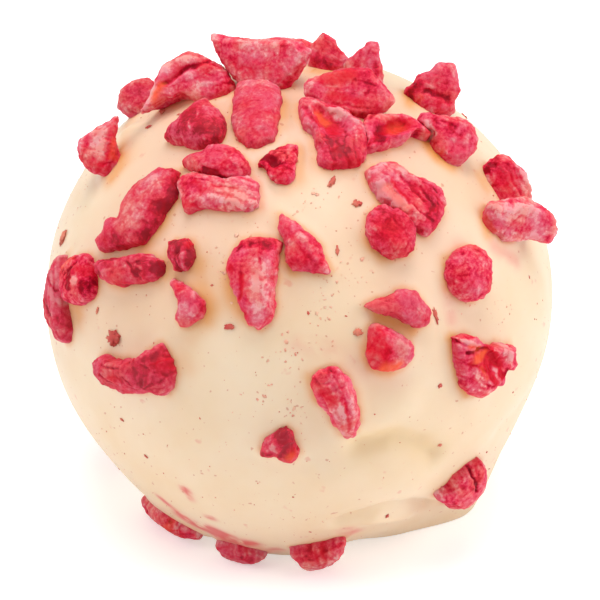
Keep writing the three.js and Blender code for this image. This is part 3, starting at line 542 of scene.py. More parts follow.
# %% Strokes on the bits of the back, which is finished like the front
STROKES.update({
    "husk_08": [
        hollow((-0.5, 0.3), 0.7), glow((-0.5, 0.3), 0.5), vivid((0.1, -0.3), 0.4),
        ridge((-1.3, 0.2), (-0.4, 1.1), 0.2, 1.3), dark((1.2, -0.6), 0.5, 0.7)],
    "husk_09": [
        hollow((0.2, 0.4), 0.6), glow((0.2, 0.4), 0.4), vivid((0.3, -0.2), 0.4), pale((-1, -0.8), 0.4),
        ridge((-0.5, 0.8), (0.7, 1), 0.18, 1.2)],
    "husk_10": [
        hollow((0.1, 0.8), 0.8), glow((0.1, 0.8), 0.5), vivid((0.2, 0.1), 0.5), dark((0.3, -1.2), 0.6, 0.7),
        ridge((-0.7, 1), (0.5, 1.7), 0.2, 1.2)],
    "husk_11": [hollow((-0.3, 0.2), 0.5), pale((0.7, 0.6), 0.4), vivid((-0.2, 0), 0.5)],
    "shard_17": [pale((-1, 0.4), 0.9, 0.8), dark((1.8, -0.6), 0.6, 0.7)],
    "shard_18": [crease((-1.4, 0.3), (1, -0.2)), pale((0.8, 0.4), 0.5), vivid((-0.8, -0.3), 0.5)],
    "shard_19": [pale((0.4, 0.2), 0.6, 0.6), vivid((-0.8, -0.2), 0.5, 0.7)],
    "shard_20": [pale((0.4, 1), 0.8, 0.8), dark((0, -1.6), 0.6, 0.7)],
    "shard_21": [crease((-2, 0.2), (1.2, 0.3), 0.2), pale((1.6, 0.4), 0.5)],
    "shard_22": [dark((-0.8, 0.3), 0.5, 0.6), pale((0.7, -0.3), 0.5, 0.7)],
    "shard_23": [vivid((0.3, 0.3), 0.7, 0.8), pale((-0.7, -0.3), 0.4, 0.6)],
    "shard_24": [dark((0.6, 0.4), 0.4, 0.8), pale((-0.5, 0), 0.6, 0.5)],
    "drupelet_10": [pit((0.2, 0.1), 0.5), dark((0.6, 0.2), 0.5, 0.5), vivid((-0.4, 0), 0.6, 0.6)],
    "drupelet_11": [vivid((0, 0.1), 0.9, 0.8), pale((0.5, 0.5), 0.3, 0.4)],
    "drupelet_12": [pit((-0.2, 0.2), 0.5), vivid((0.3, -0.3), 0.6, 0.6)],
    "drupelet_13": [dark((0.3, 0.2), 0.6, 0.6), pale((-0.5, -0.2), 0.3, 0.5)],
    "strand_08": [crease((-1.5, 0.2), (1.5, -0.1)), pale((1, 0.2), 0.6), vivid((-1.2, 0), 0.5, 0.7)],
    "strand_09": [pale((0, -0.8), 0.6), crease((-0.4, 1.2), (-0.2, -1)), vivid((0.2, 0.9), 0.5, 0.6)],
    "strand_10": [ridge((-1.2, 0.1), (1.2, 0), 0.1), pale((0.8, 0), 0.5, 0.7)],
    "strand_11": [crease((-0.9, 0.3), (0.9, 0.1)), dark((-0.8, -0.2), 0.4, 0.6)],
})
print("bits with strokes of their own:", len(STROKES))

# %% [markdown]
# Every kind of bit also has a skin of its own. A drupelet, one of the little beads of the berry,
# dries wrinkled like a raisin. A shard is a flake of pulp, powdery and gently bent. A strand is pulp
# from the core, with fibres along it. A husk is a burst bead: a thin wall round a hollow. Each skin
# is a few layers of smooth random height, from broad bends down to fine crumb.

# %% The skin of each kind
def wrinkled(local, seed):
    return (-0.07 * creases(local, 1.1, seed, 0.14) - 0.03 * creases(local, 2.4, seed + 1, 0.2)
            + 0.06 * grain(local, 0.8, seed + 2))


def powdery(local, seed):
    bent = local * (1, 1, 0.5)
    return (0.07 * grain(bent, 0.45, seed) - 0.02 * creases(bent, 1.5, seed + 1, 0.1)
            + 0.02 * grain(bent, 2.3, seed + 2))


def fibrous(local, seed):
    drawn = local * (0.3, 1.7, 1.7)
    return (-0.05 * creases(drawn, 1.0, seed, 0.15) - 0.03 * creases(drawn, 2.2, seed + 1, 0.2)
            + 0.06 * grain(local, 0.6, seed + 2))


def burst(local, seed):
    return (-0.04 * creases(local, 0.9, seed, 0.12) - 0.025 * creases(local, 2.0, seed + 1, 0.18)
            + 0.07 * grain(local, 0.7, seed + 2))


KINDS = {  # skin, tone from dark to pale, contrast of the tone, how red the veins are
    "drupelet": (wrinkled, -0.08, 1.5, 0.35),
    "shard": (powdery, 0.15, 1.15, 0.5),
    "strand": (fibrous, 0.18, 1.15, 0.5),
    "husk": (burst, 0.1, 1.15, 0.6),
}
print("skin heights of a sample bead:", wrinkled(np.eye(3), 5).round(3))

# %% What single bits have of their own
OTHER_SKIN = {
    "shard_14": wrinkled, "shard_15": wrinkled, "husk_07": wrinkled, "drupelet_07": fibrous,
    "drupelet_05": burst, "drupelet_01": powdery, "drupelet_02": powdery, "drupelet_08": powdery,
    "strand_04": powdery, "strand_06": powdery,
}
OWN_TONE = {
    "drupelet_01": 0.32, "drupelet_02": -0.18, "drupelet_03": -0.34, "drupelet_04": -0.29,
    "drupelet_05": -0.03, "drupelet_06": -0.16, "drupelet_07": 0.27, "drupelet_08": -0.02,
    "drupelet_09": -0.07, "strand_01": 0.32, "strand_02": -0.22, "strand_03": 0.22, "strand_04": 0.11,
    "strand_05": 0.5, "strand_06": 0.20, "strand_07": 0.30, "husk_01": 0.40, "husk_02": 0.10,
    "husk_03": -0.10, "husk_04": 0.12, "husk_05": 0.40, "husk_06": 0.05, "husk_07": 0.42,
    "shard_01": 0.33, "shard_02": 0.28, "shard_04": -0.02, "shard_05": 0.07, "shard_06": 0.28,
    "shard_08": 0.20, "shard_09": 0.23, "shard_10": 0.03, "shard_11": 0.03, "shard_14": -0.06,
    "shard_15": 0.55, "shard_16": 0.42,
}
OWN_CONTRAST = {
    "shard_14": 1.4, "strand_07": 0.85, "shard_16": 1.8, "shard_15": 1.5, "shard_12": 1.0,
    "strand_02": 1.8, "strand_03": 1.7, "drupelet_07": 1.1, "shard_03": 0.9, "drupelet_08": 1.0,
}
DUSKY = {  # how far dust has dulled a bit
    "shard_12": 0.9, "shard_05": 0.6, "drupelet_02": 0.8, "shard_14": 1.0, "strand_03": 1.0,
    "drupelet_04": 0.9, "drupelet_09": 1.0, "strand_02": 0.7, "husk_07": 0.4, "shard_15": 0.4,
    "shard_16": 0.9, "shard_08": 0.4, "shard_11": 0.3, "husk_02": 0.4, "drupelet_01": 0.8,
    "drupelet_06": 0.5, "shard_03": 0.7, "shard_06": 0.4, "shard_09": 0.4, "shard_07": 0.3,
    "husk_05": 0.3, "shard_04": 0.2, "shard_10": 0.2, "strand_04": 0.1,
}
FIBRES = {  # how clearly the fibres show
    "strand_01": 0.35, "shard_13": 0.4, "drupelet_07": 0.4, "strand_07": 0.25, "shard_02": 0.4,
    "husk_05": 0.3, "strand_03": 0.4, "strand_10": 0.5, "husk_06": 0.3, "shard_10": 0.25,
}
USUAL_FIBRES = 0.1
print("bits with a tone of their own:", len(OWN_TONE))

# %% [markdown]
# A bit is made in four steps: clay copy, outline, marks and crumb. The first needs the face of the
# bit, the flat way of looking at it: its thinnest direction points out of the truffle, and right and
# up lie within the face.

# %% The clay and its face
VOXEL = 0.075  # millimetres, as all that follows
SMOOTH_ROUNDS = 7
SWELL = 0.06  # gives back what the smoothing took away
FACES = {}


def face_of(points):
    """Middle, right, top and outward directions of a bit's face."""
    middle = points.mean(0)
    arms = points - middle
    out = np.linalg.eigh(arms.T @ arms)[1][:, 0]
    if out @ (middle - BALL_MIDDLE) < 0:
        out = -out
    right = np.cross((0, 0, 1), out)
    right /= np.linalg.norm(right)
    return middle, right, np.cross(out, right), out


def on_face(points, face):
    """Places measured from the middle of the face: to the right, upwards and outwards."""
    middle, *axes = face
    return (points - middle) @ np.stack(axes, 1)


def clay_copy(node):
    """An evenly skinned copy of a packed bit: its mesh, edges and points."""
    mesh = applied(merged_copy(node, node), "REMESH", mode="VOXEL", voxel_size=VOXEL)
    edges = edges_of(mesh)
    points = smoothed(vertices_of(mesh), edges, SMOOTH_ROUNDS)
    set_vertices(mesh, points)
    return mesh, edges, points + SWELL * normals_of(mesh)


print("clay copies keep details down to", VOXEL, "mm")

# %% The outline: pulled into shape, then torn
LARGE_TEAR, SMALL_TEAR = 0.08, 0.07


def stroke_share(x, y, start, to, radius, sharpness=1.0):
    """1 on the stroke's own line, fading out over its radius."""
    line = np.subtract(to, start)
    along = ((x - start[0]) * line[0] + (y - start[1]) * line[1]) / max(line @ line, 1e-9)
    along = np.clip(along, 0, 1)
    gap = (x - start[0] - along * line[0]) ** 2 + (y - start[1] - along * line[1]) ** 2
    return np.exp(-((gap / radius ** 2) ** sharpness))


def pulled(points, face, strokes):
    """The clay after the pulls among a bit's strokes."""
    local = on_face(points, face)
    for effect, start, to, radius, by in strokes:
        if effect == "pull":
            share = stroke_share(local[:, 0], local[:, 1], start, to, radius)
            points = points + share[:, None] * (by[0] * face[1] + by[1] * face[2])
    return points


def torn(points, local, face, number):
    """The whole bit pushed about within its own plane. Its number keeps it unlike all others."""
    sideways = LARGE_TEAR * grain(local, 1.1, number) + SMALL_TEAR * grain(local, 3.4, number + 40)
    upwards = LARGE_TEAR * grain(local, 1.0, number + 80) + SMALL_TEAR * grain(local, 3.6, number + 120)
    return points + sideways[:, None] * face[1] + upwards[:, None] * face[2]


print("share of a stroke one radius away:", stroke_share(1.0, 0.0, (0, 0), (0, 0), 1.0).round(2))

# %% [markdown]
# The marks are numbers on every vertex: the height that it gains, and four that the finish uses.
# Tone runs from dark skin to pale powder, vivid is where juice dried, dusk where dust dulls the bit,
# and glow where the wall is thin. They come from the skin, the fibres and the veins first, and then
# from the strokes, which stray a little from their straight lines and stay off the hidden underside.

# %% The marks on a face
STRAY = 0.12
PATCH_EDGE = 1.5  # patches of colour end more clearly than hollows do


def marked(node, number, local, facing):
    """Height, tone, glow, vivid and dusk of every vertex of a bit."""
    skin, kind_tone, _, vein_share = KINDS[node.split("_")[0]]
    # fibres run along the bit, so its long way becomes the first axis of its skin
    across, along = np.linalg.eigh(local[:, :2].T @ local[:, :2])[1].T
    grown = np.column_stack([local[:, :2] @ along, local[:, :2] @ across, local[:, 2]]) + number * 3.7
    height = OTHER_SKIN.get(node, skin)(grown, number * 5)
    fibre = FIBRES.get(node, USUAL_FIBRES) * grain(grown * (0.35, 4.4, 1.2), 1.0, number + 23)
    vein = vein_share * creases(grown * (0.7, 1.2, 1.0), 1.0, number + 29, 0.09)
    # the skin is darker where it sinks: painted shade in its creases, along with the dark skin
    tone = OWN_TONE.get(node, kind_tone) + 2.0 * np.minimum(height, 0)
    marks = {"height": height + 0.03 * fibre - 0.02 * vein, "tone": tone + fibre - 0.3 * vein,
             "glow": np.zeros(len(local)), "vivid": 0.8 * vein,
             "dusk": np.full(len(local), DUSKY.get(node, 0.0))}
    x = local[:, 0] + STRAY * grain(local, 1.6, number + 7)
    y = local[:, 1] + STRAY * grain(local, 1.5, number + 9)
    for effect, start, to, radius, amount in STROKES.get(node, []):
        for mark, strength in EFFECTS.get(effect, {}).items():
            sharpness = 1.0 if mark == "height" else PATCH_EDGE
            marks[mark] += strength * amount * stroke_share(x, y, start, to, radius, sharpness) * facing
    return marks


print("marks that strokes can make:", sorted({mark for effect in EFFECTS.values() for mark in effect}))

# %% Shape a bit
THINNEST = 0.25  # of the clay left under a mark
CRUMB_COARSE, CRUMB_FINE = 0.02, 0.025  # height of the crumb
PRESSED, PRESS_REACH = 0.34, 0.42  # how deep the lower edge goes into the coat, and from what height


def tone_with_relief_shade(points, mesh, edges, local, number):
    """Raised places are paler and crevices darker: partly powdery pulp and dark skin, partly painted light
    and shade of the relief. Patches vary.
    """
    bump = ((points - smoothed(points, edges, 6)) * normals_of(mesh)).sum(1)
    return (np.clip(smoothed(bump, edges, 2) * 14, -0.5, 0.5)
            + 0.28 * grain(local, 0.8, number + 17) + 0.3 * grain(local, 2.4, number + 19))


def shaped_bit(node, number):
    mesh, edges, points = clay_copy(node)
    face = FACES[node] = face_of(points)
    points = pulled(points, face, STROKES.get(node, []))
    local = on_face(points, face)
    facing = ease((normals_of(mesh) @ face[3] + 0.35) / 0.6)
    marks = marked(node, number, local, facing)
    points = torn(points, local, face, number)

    height = (marks["height"] + CRUMB_COARSE * grain(local, 3.6, number + 11)
              + CRUMB_FINE * grain(local, 6.5, number + 13))
    above = np.array([coat_height(Vector(p)) for p in points])
    deepest = -np.maximum(above - THINNEST, 0)
    height = np.where(facing > 0.7, np.maximum(height, deepest), height)
    set_vertices(mesh, points)
    points = points + height[:, None] * normals_of(mesh)

    tone = marks["tone"] + tone_with_relief_shade(points, mesh, edges, local, number)
    contrast = OWN_CONTRAST.get(node, KINDS[node.split("_")[0]][2])
    set_attribute(mesh, "tone", tone.mean() + contrast * (tone - tone.mean()))
    for mark in ("glow", "vivid", "dusk"):
        set_attribute(mesh, mark, np.clip(marks[mark], 0, 1))

    press = PRESSED * ease((PRESS_REACH - above) / 0.3)
    set_vertices(mesh, points - press[:, None] * outward_from_middle(points))
    return mesh


bit_names = sorted(name for name in nodes if name != "coat")
bit_meshes = {name: shaped_bit(name, i + 1) for i, name in enumerate(bit_names)}
print("bits:", len(bit_meshes), "faces:", sum(len(m.polygons) for m in bit_meshes.values()))

# %% [markdown]
# The coat is poured, so it has no facets at all: its grid of faces is made of squares and then
# subdivided into a smooth surface. Melted chocolate leaves soft marks. It hung in a thick roll below
# the middle of the front, with a shallow groove above it, ran out into a thin lip on the tray, kept
# one burst air bubble, and climbed a little up the sides of every bit that was dropped on it.

# %% The coat as a smooth surface
FOOT_CREASE = 0.55  # how sharply the edge of the foot stays when the grid is subdivided


def coat_grid():
    bm = bmesh.new()
    bm.from_mesh(coat_clay)
    bmesh.ops.join_triangles(bm, faces=bm.faces, angle_face_threshold=math.radians(40),
                             angle_shape_threshold=math.radians(60))
    crease_layer = bm.edges.layers.float.new("crease_edge")
    for edge in bm.edges:
        low = all(v.co.z < 0.01 for v in edge.verts)
        if low and any(f.normal.z > -0.9 for f in edge.link_faces):
            edge[crease_layer] = FOOT_CREASE
    return mesh_from(bm, "coat_grid")


coat = applied(coat_grid(), "SUBSURF", levels=3, render_levels=3)
coat_points = vertices_of(coat)
print("coat faces:", len(coat.polygons))

# %% [markdown]
# The soft marks are strokes again, this time laid round the ball: azimuth and latitude in degrees,
# the half width of the stroke in degrees, and its rise in millimetres.

# %% Marks of pouring
POURED = [
    (((14, -6), (22, -5.5), (28, -9), (33, -14)), 2.8, -0.55),  # groove above the roll
    (((16, 1), (24, 3)), 4.0, 0.22),  # the overhang above it
    (((8, -14), (18, -16), (28, -20)), 5.5, 0.34),  # the roll
    (((11, -31), (14, -29), (22, -27), (29, -29), (40, -36)), 2.0, -0.5),  # groove above the lip
    (((20, -33), (32, -37)), 2.4, 0.3),  # the lip on the tray
    (((66, -2), (70, 4)), 9.0, 0.18),  # fuller at the right
    (((58, -17), (66, -16)), 4.0, -0.22),  # and drawn in below
    (((33, 24), (36, 5), (40, -8)), 2.2, -0.05),  # a faint line where the coat met itself
    (((70, -30), (76, -42)), 7.0, 0.12),  # the tongue at the right
    (((-105, 33), (-103, 36)), 2.2, 0.25),  # two blobs beside the crown bits
    (((-95, 47), (-93, 50)), 1.4, 0.2),
    (((-150, -12), (-120, -16)), 5.0, -0.12),  # soft dents behind
    (((160, 20), (150, -10)), 2.5, -0.06),
    (((-175, -30), (150, -34)), 3.0, -0.18),
]
BUBBLE_AT = (-10, 10)
MARKS_FROM, MARKS_FADE = 0.15, 1.2  # above the tray, so that the foot stays flat


def around(azimuth, middle):
    """Azimuth counted from another one, the shorter way round."""
    return (azimuth - middle + 180) % 360 - 180


def sweep_share(azimuth, latitude, places, width):
    """1 along a line round the ball, fading over `width` degrees."""
    share = np.zeros(len(azimuth))
    for (a0, l0), (a1, l1) in zip(places, places[1:]):
        x = around(azimuth, a0) * np.cos(np.radians(latitude))
        across = around(a1, a0) * math.cos(math.radians((l0 + l1) / 2))
        share = np.maximum(share, stroke_share(x, latitude - l0, (0, 0), (across, l1 - l0), width))
    return share


def poured(points):
    """Rise of the coat at each point: its marks, gentle unevenness and a burst bubble."""
    azimuth, latitude = angles(points)
    rise = sum(height * sweep_share(azimuth, latitude, places, width)
               for places, width, height in POURED)
    rise += 0.10 * grain(points, 0.11, 501) + 0.035 * grain(points, 0.3, 502)
    ring = np.hypot((azimuth - BUBBLE_AT[0]) * np.cos(np.radians(latitude)), latitude - BUBBLE_AT[1])
    rise += 0.035 * np.exp(-((ring - 1.5) / 0.45) ** 2) - 0.03 * np.exp(-(ring / 0.8) ** 2)
    return rise * ease((points[:, 2] - MARKS_FROM) / MARKS_FADE)


outward = outward_from_middle(coat_points)
coat_points = coat_points + poured(coat_points)[:, None] * outward
print("marks of pouring:", len(POURED))

# %% The coat climbs round the bits
CLIMB, CLIMB_AT, CLIMB_WIDTH = 0.13, 0.1, 0.34  # height, distance from the bit, and how widely
bit_points = np.concatenate([vertices_of(m)[::3] for m in bit_meshes.values()])
bit_tree = KDTree(len(bit_points))
for i, point in enumerate(bit_points):
    bit_tree.insert(point, i)
bit_tree.balance()
nearest = [bit_tree.find(p) for p in coat_points]
to_bit = np.array([gap for _, _, gap in nearest])
coat_points += (CLIMB * np.exp(-((to_bit - CLIMB_AT) / CLIMB_WIDTH) ** 2))[:, None] * outward
set_vertices(coat, coat_points)
set_attribute(coat, "to_bit", to_bit)
print("coat verts near a bit:", int((to_bit < 0.5).sum()))

# %% [markdown]
# The coat is stained too: berry rubbed pink smears on it. Light and shade are painted on it as well:
# orange painted shade along one side of many bits, painted red light and shade where many bits lie
# close, and yellower painted shade in the deep groove. Each is a number on every vertex, laid down with the
# same strokes: places, half width, share.

# %% Stains, and painted shade beside the bits
PINK_SMEARS = [
    (((-41, -33), (-39, -36), (-37, -38.5)), 1.2, 1.3),  # a scratch, and the blot it leads to
    (((-36, -41), (-33, -42), (-28.5, -42)), 3.0, 1.8), (((-29, -42), (-26.5, -45)), 1.7, 1.5),
    (((-25, -44), (-21, -46.5), (-16, -47.5)), 3.4, 0.9), (((-24, -42.5), (-20.5, -44)), 1.5, 1.0),
    (((-17, -45.5), (-15, -45.5)), 1.8, 1.1), (((-28.7, -23.8), (-28.3, -26.4)), 1.2, 1.4),
    (((-25, -33.7), (-23.9, -33.7)), 1.0, 1.0), (((-7, -48), (-9, -50)), 2.0, 0.8),
    (((14, -37), (17, -40)), 1.8, 0.7), (((47, 33), (43, 24)), 2.2, 0.3), (((59, 29), (65, 23)), 1.8, 0.4),
    (((39, 26), (38, 19)), 1.6, 0.35), (((0, 19), (7, 18)), 2.0, 0.25), (((12, 14), (22, 10)), 4.0, 0.14),
    (((-21, 57), (-15, 54), (-12, 49)), 1.3, 0.35),
]
# orange painted shade beside the bits, on the side where their shade falls, warmed by the light the red bits
# pass on
SIDE_SHADE_STROKES = [
    (((-99, 46), (-75, 46), (-73, 41)), 1.8, 0.9), (((-45, 48), (-43, 40), (-45, 34)), 1.8, 0.8),
    (((-35, 33), (-35, 30)), 1.8, 0.5), (((-95, 58), (-76, 67)), 1.2, 0.35),
    (((-25, 33), (-21, 27), (-22, 23)), 2.3, 0.75), (((-63, 15), (-59, 12)), 1.8, 0.9),
    (((-56, 25), (-55, 20)), 1.0, 0.5), (((100, 64), (82, 64)), 1.2, 0.9),
    (((63, 56), (61, 52), (63, 49)), 1.2, 1.0), (((72, 43), (70, 40)), 1.2, 0.6),
    (((61, 36), (58, 32)), 1.0, 0.7), (((41, 32), (39, 26)), 0.9, 0.7),
    (((37, 15), (38, 6), (40, 1)), 1.0, 0.9), (((20, 40), (23, 36)), 1.0, 0.6),
    (((27, 53), (29, 47)), 0.9, 0.5), (((19, 24), (27, 19)), 1.0, 1.0),
    (((15, 18), (16, 13), (20, 11)), 1.0, 0.5), (((2, 12), (4, 7)), 1.0, 0.5),
    (((-4, 39), (-1, 35)), 1.0, 0.6), (((-18, 32), (-14, 25)), 1.4, 0.6),
    (((-15, 78), (-7, 71)), 1.2, 0.5), (((-1, 63), (2, 56)), 1.8, 0.4),
    (((-25, 16), (-24, 12)), 1.8, 0.5), (((161, 85), (103, 80)), 1.2, 0.5),
]
SIDE_SHADE_WIDENED, SIDE_SHADE_REACH = 1.5, 1.1  # reach in millimetres from a bit
azimuth, latitude = angles(coat_points)


def swept(strokes, widened=1.0):
    return sum(amount * sweep_share(azimuth, latitude, places, width * widened)
               for places, width, amount in strokes)


def side_shade_behind():
    """Behind, where no strokes were laid, orange painted shade on the side of each bit that looks towards the
    middle.
    """
    away = coat_points - np.array([place for place, _, _ in nearest])
    inward = BALL_MIDDLE - coat_points
    slant = (away * inward)[:, [0, 2]].sum(1)
    slant /= np.maximum(to_bit * np.hypot(inward[:, 0], inward[:, 2]), 1e-6)
    return ease((np.abs(azimuth) - 105) / 10) * ease(0.4 + 0.7 * slant) * np.exp(-(to_bit / 0.7) ** 2)


wet = grain(coat_points, 0.9, 611)
smear = swept(PINK_SMEARS) * ease(0.75 + 0.5 * wet + 0.4 * grain(coat_points, 3.0, 612))
set_attribute(coat, "smear", np.clip(smear, 0, 0.95))
side_shade = 1.2 * swept(SIDE_SHADE_STROKES, SIDE_SHADE_WIDENED) * np.exp(-(to_bit / SIDE_SHADE_REACH) ** 2) + 0.8 * side_shade_behind()
set_attribute(coat, "side_shade", np.clip(side_shade, 0, 1) * ease(0.95 + 0.5 * wet))
print("stained coat verts:", int((smear > 0.1).sum() + (side_shade > 0.1).sum()))

# %% Painted red light and shade between crowded bits, painted yellow light and shade in the deep groove
CROWD_REACH = 4.5
DEEP = -0.52
# painted red light and shade on the coat where many bits lie close together
crowd_shade = sum(len(bit_meshes[name].vertices) * np.exp(-((coat_points - face[0]) ** 2).sum(1) / CROWD_REACH ** 2)
            for name, face in FACES.items())
set_attribute(coat, "crowd_shade", ease(crowd_shade / crowd_shade.max() * 1.6 - 0.35))
# painted yellow shade in the deepest grooves of the coat
deep_grooves = [(places, width, 1.0) for places, width, rise in POURED if rise < DEEP]
set_attribute(coat, "groove_shade", np.clip(swept(deep_grooves, 1.3), 0, 1))
print("most crowded place of the coat:", coat_points[crowd_shade.argmax()].round(1))

# %% [markdown]
# Between the bits lie crumbs that broke off them and, finer still, red-brown dust and pale flecks of
# powder. Each is a small ball pulled out of shape by smooth random values until it looks broken, and
# a large crumb also gets a few torn points. Some crumbs lie at places of their own, the rest falls at
# random, or gathers where powder shook off, but never on top of a bit. Each kind is one mesh.

# %% Where crumbs lie
CRUMBS = [  # azimuth, latitude, length and width in millimetres, turn in degrees
    (-46, 12, 1.0, 0.8, 30), (-53, 16, 0.4, 0.2, 80), (-16, 22, 0.6, 0.3, 10), (20, 49, 0.5, 0.4, 10),
    (13, 55, 0.8, 0.3, 50), (14, 21, 0.5, 0.4, 0), (34, 21, 0.9, 0.26, 95), (11, 39, 0.45, 0.2, 80),
    (33, 5, 0.3, 0.25, 0), (-38, -16, 0.3, 0.2, -40), (-80, 22, 0.9, 0.6, 80), (-90, 58, 0.5, 0.35, 0),
    (-85, 54, 0.5, 0.25, 60), (170, 0, 0.8, 0.5, 30), (-150, -20, 0.6, 0.4, 70), (120, 40, 0.7, 0.4, 0),
    (-110, 5, 0.6, 0.4, 40), (135, -15, 0.5, 0.4, 20),
]
POWDERY_SPOTS = [(-21, 35), (-4, 18), (-9, 6), (0, 4), (1, 18), (6, 31), (7, 25), (54, 15),
                 (-14, 28), (44, 22), (-14, 44), (24, 45), (4, 51), (14, 34), (150, 30), (-140, 10),
                 (170, -10), (120, 5)]
SPOT_SPREAD = 2.4  # degrees
LOWEST = -0.75  # sine of the lowest latitude where anything falls
MOSTLY_SMALL = 2.2  # the higher, the rarer the large ones
random = np.random.default_rng(24)


def thrown(count, smallest, largest, flattest, spots=None):
    """Random places and sizes: even over the ball, or gathered around given spots."""
    rows = []
    for number in range(count):
        size = smallest * (largest / smallest) ** (random.random() ** MOSTLY_SMALL)
        azimuth_deg = random.uniform(-180, 180)
        latitude_deg = math.degrees(math.asin(random.uniform(LOWEST, 1)))
        if spots:
            azimuth_deg, latitude_deg = np.add(spots[number % len(spots)], random.normal(0, SPOT_SPREAD, 2))
        rows.append((azimuth_deg, latitude_deg, size, size * random.uniform(flattest, 1),
                     random.uniform(0, 180)))
    return rows


print("crumbs placed by hand:", len(CRUMBS))

# %% Crumbs, dust and powder
ivory_tree = surface_tree(coat)
TORN_FROM = 0.6  # length of the smallest crumb that has torn points


def spot_on_coat(azimuth_deg, latitude_deg):
    """Place and outward normal of the finished coat in a direction, or None below the foot."""
    ray = Vector(direction(azimuth_deg, latitude_deg))
    place, normal, _, _ = ivory_tree.ray_cast(Vector(BALL_MIDDLE) + ray * 30, -ray)
    return (place, normal) if place is not None and place.z > 0.4 else None


def broken_ball(bm, subdivisions, number, rough, points):
    """A ball of width 1 with smooth random lumps and, round its edge, torn points."""
    made = bmesh.ops.create_icosphere(bm, subdivisions=subdivisions, radius=0.5)["verts"]
    ball = np.array([vert.co for vert in made])
    turn = np.arctan2(ball[:, 1], ball[:, 0])
    waves = (5 - number % 3) * turn + 1.4 * np.sin(2 * turn + number)
    torn_out = np.maximum(0, np.cos(waves)) ** 3 * (0.7 + grain(ball, 2.5, number + 50))
    lumps = 1 + rough * grain(ball, 6.5, number) + points * (torn_out - 0.3)
    for vert, lump in zip(made, lumps):
        vert.co *= lump
    return made


def laid(bm, verts, place, axes, turn, size):
    """Gives a ball its size, turns it and brings it to its place."""
    turned = Matrix.Rotation(math.radians(turn), 4, "Z")
    bmesh.ops.transform(bm, matrix=Matrix.Translation(place) @ axes @ turned @ Matrix.Diagonal((*size, 1)),
                        verts=verts)


def scattered(name, entries, subdivisions, rough, flat, points=0.0):
    """Lays little broken lumps on the coat and joins them into one mesh."""
    bm = bmesh.new()
    for number, (azimuth_deg, latitude_deg, length, width, turn) in enumerate(entries):
        spot = spot_on_coat(azimuth_deg, latitude_deg)
        if spot is None or bit_tree.find(spot[0])[2] < width * 0.4:
            continue
        place, normal = spot
        made = broken_ball(bm, subdivisions, number, rough, points * (length > TORN_FROM))
        axes = normal.to_track_quat("Z", "Y").to_matrix().to_4x4()
        laid(bm, made, place + normal * width * 0.1, axes, turn, (length, width, min(length, width) * flat))
    mesh = mesh_from(bm, name)
    print(name, "faces:", len(mesh.polygons))
    return mesh


crumb_mesh = scattered("berry_crumbs", CRUMBS + thrown(55, 0.12, 0.32, 0.4), 3, 0.7, 0.4, 0.22)
dust_mesh = scattered("berry_dust", thrown(1300, 0.04, 0.15, 0.45)
                      + thrown(60, 0.05, 0.14, 0.35, POWDERY_SPOTS), 1, 0.5, 0.5)
powder_mesh = scattered("berry_powder", thrown(170, 0.08, 0.26, 0.3, POWDERY_SPOTS), 2, 0.9, 0.12)

# %% [markdown]
# A few burst beads still hold their seed, a smooth orange grain. Each one is a ball drawn out long
# and narrowed towards one end, dropped straight down on the shaped bit and sunk in until about half
# of it shows.

# %% Seeds
SEEDS = [  # bit, place on its face, length and width, turn in degrees, share that is sunk
    ("husk_08", (-0.5, 0.3), 1.1, 0.65, 40, 0.55),
    ("husk_10", (0.1, 0.8), 1.2, 0.7, 80, 0.55),
]


def seeds():
    bm = bmesh.new()
    for bit, (x, y), length, width, turn, sunk in SEEDS:
        centre, right, top, out = (Vector(v) for v in FACES[bit])
        place = surface_tree(bit_meshes[bit]).ray_cast(centre + right * x + top * y + out * 4, -out)[0]
        made = bmesh.ops.create_icosphere(bm, subdivisions=4, radius=0.5)["verts"]
        for vert in made:
            vert.co.y *= 1 - 0.5 * vert.co.x
        axes = Matrix((right, top, out)).transposed().to_4x4()
        laid(bm, made, place + out * width * (0.4 - sunk), axes, turn, (length, width, width * 0.8))
    return mesh_from(bm, "berry_seeds")


seed_mesh = seeds()
print("seeds:", len(SEEDS))

# %% [markdown]
# ## Finishes
# Berry colour runs on one scale: from wine-dark skin, through crimson and red, to pale pink powder.
# One shared node group turns the tone of a spot into its colour, breaks it up with mottling at the
# size of dried pulp cells, and gives the fine height that catches the light. Each kind of bit places
# the group with its own values. Building node trees takes a few helpers first.

# %% Node helpers
def linear(colour):
    """An everyday 0-255 colour as the linear values that nodes take."""
    parts = [c / 255 for c in colour]
    return (*[p / 12.92 if p <= 0.04045 else ((p + 0.055) / 1.055) ** 2.4 for p in parts], 1.0)


def feed(tree, socket, value):
    """Gives a socket a plain value or links it to another node's output."""
    if isinstance(value, bpy.types.NodeSocket):
        tree.links.new(value, socket)
    else:
        socket.default_value = value


def math_node(tree, operation, a, b):
    made = tree.nodes.new("ShaderNodeMath")
    made.operation = operation
    feed(tree, made.inputs[0], a)
    feed(tree, made.inputs[1], b)
    return made.outputs[0]


def past(tree, value, start, steepness):
    """0 at `start` and rising steeply past it."""
    return math_node(tree, "MULTIPLY", math_node(tree, "SUBTRACT", value, start), steepness)


def between(tree, value, most):
    """The value, but no less than 0 and no more than `most`."""
    return math_node(tree, "MINIMUM", math_node(tree, "MAXIMUM", value, 0.0), most)


def mix_colour(tree, share, first, second):
    """The first colour with a share of the second, an everyday 0-255 one."""
    made = tree.nodes.new("ShaderNodeMix")
    made.data_type = "RGBA"
    for socket, value in ((made.inputs[0], share), (made.inputs[6], first), (made.inputs[7], linear(second))):
        feed(tree, socket, value)
    return made.outputs[2]


print("cream in linear values:", tuple(round(c, 2) for c in linear((240, 217, 188))))

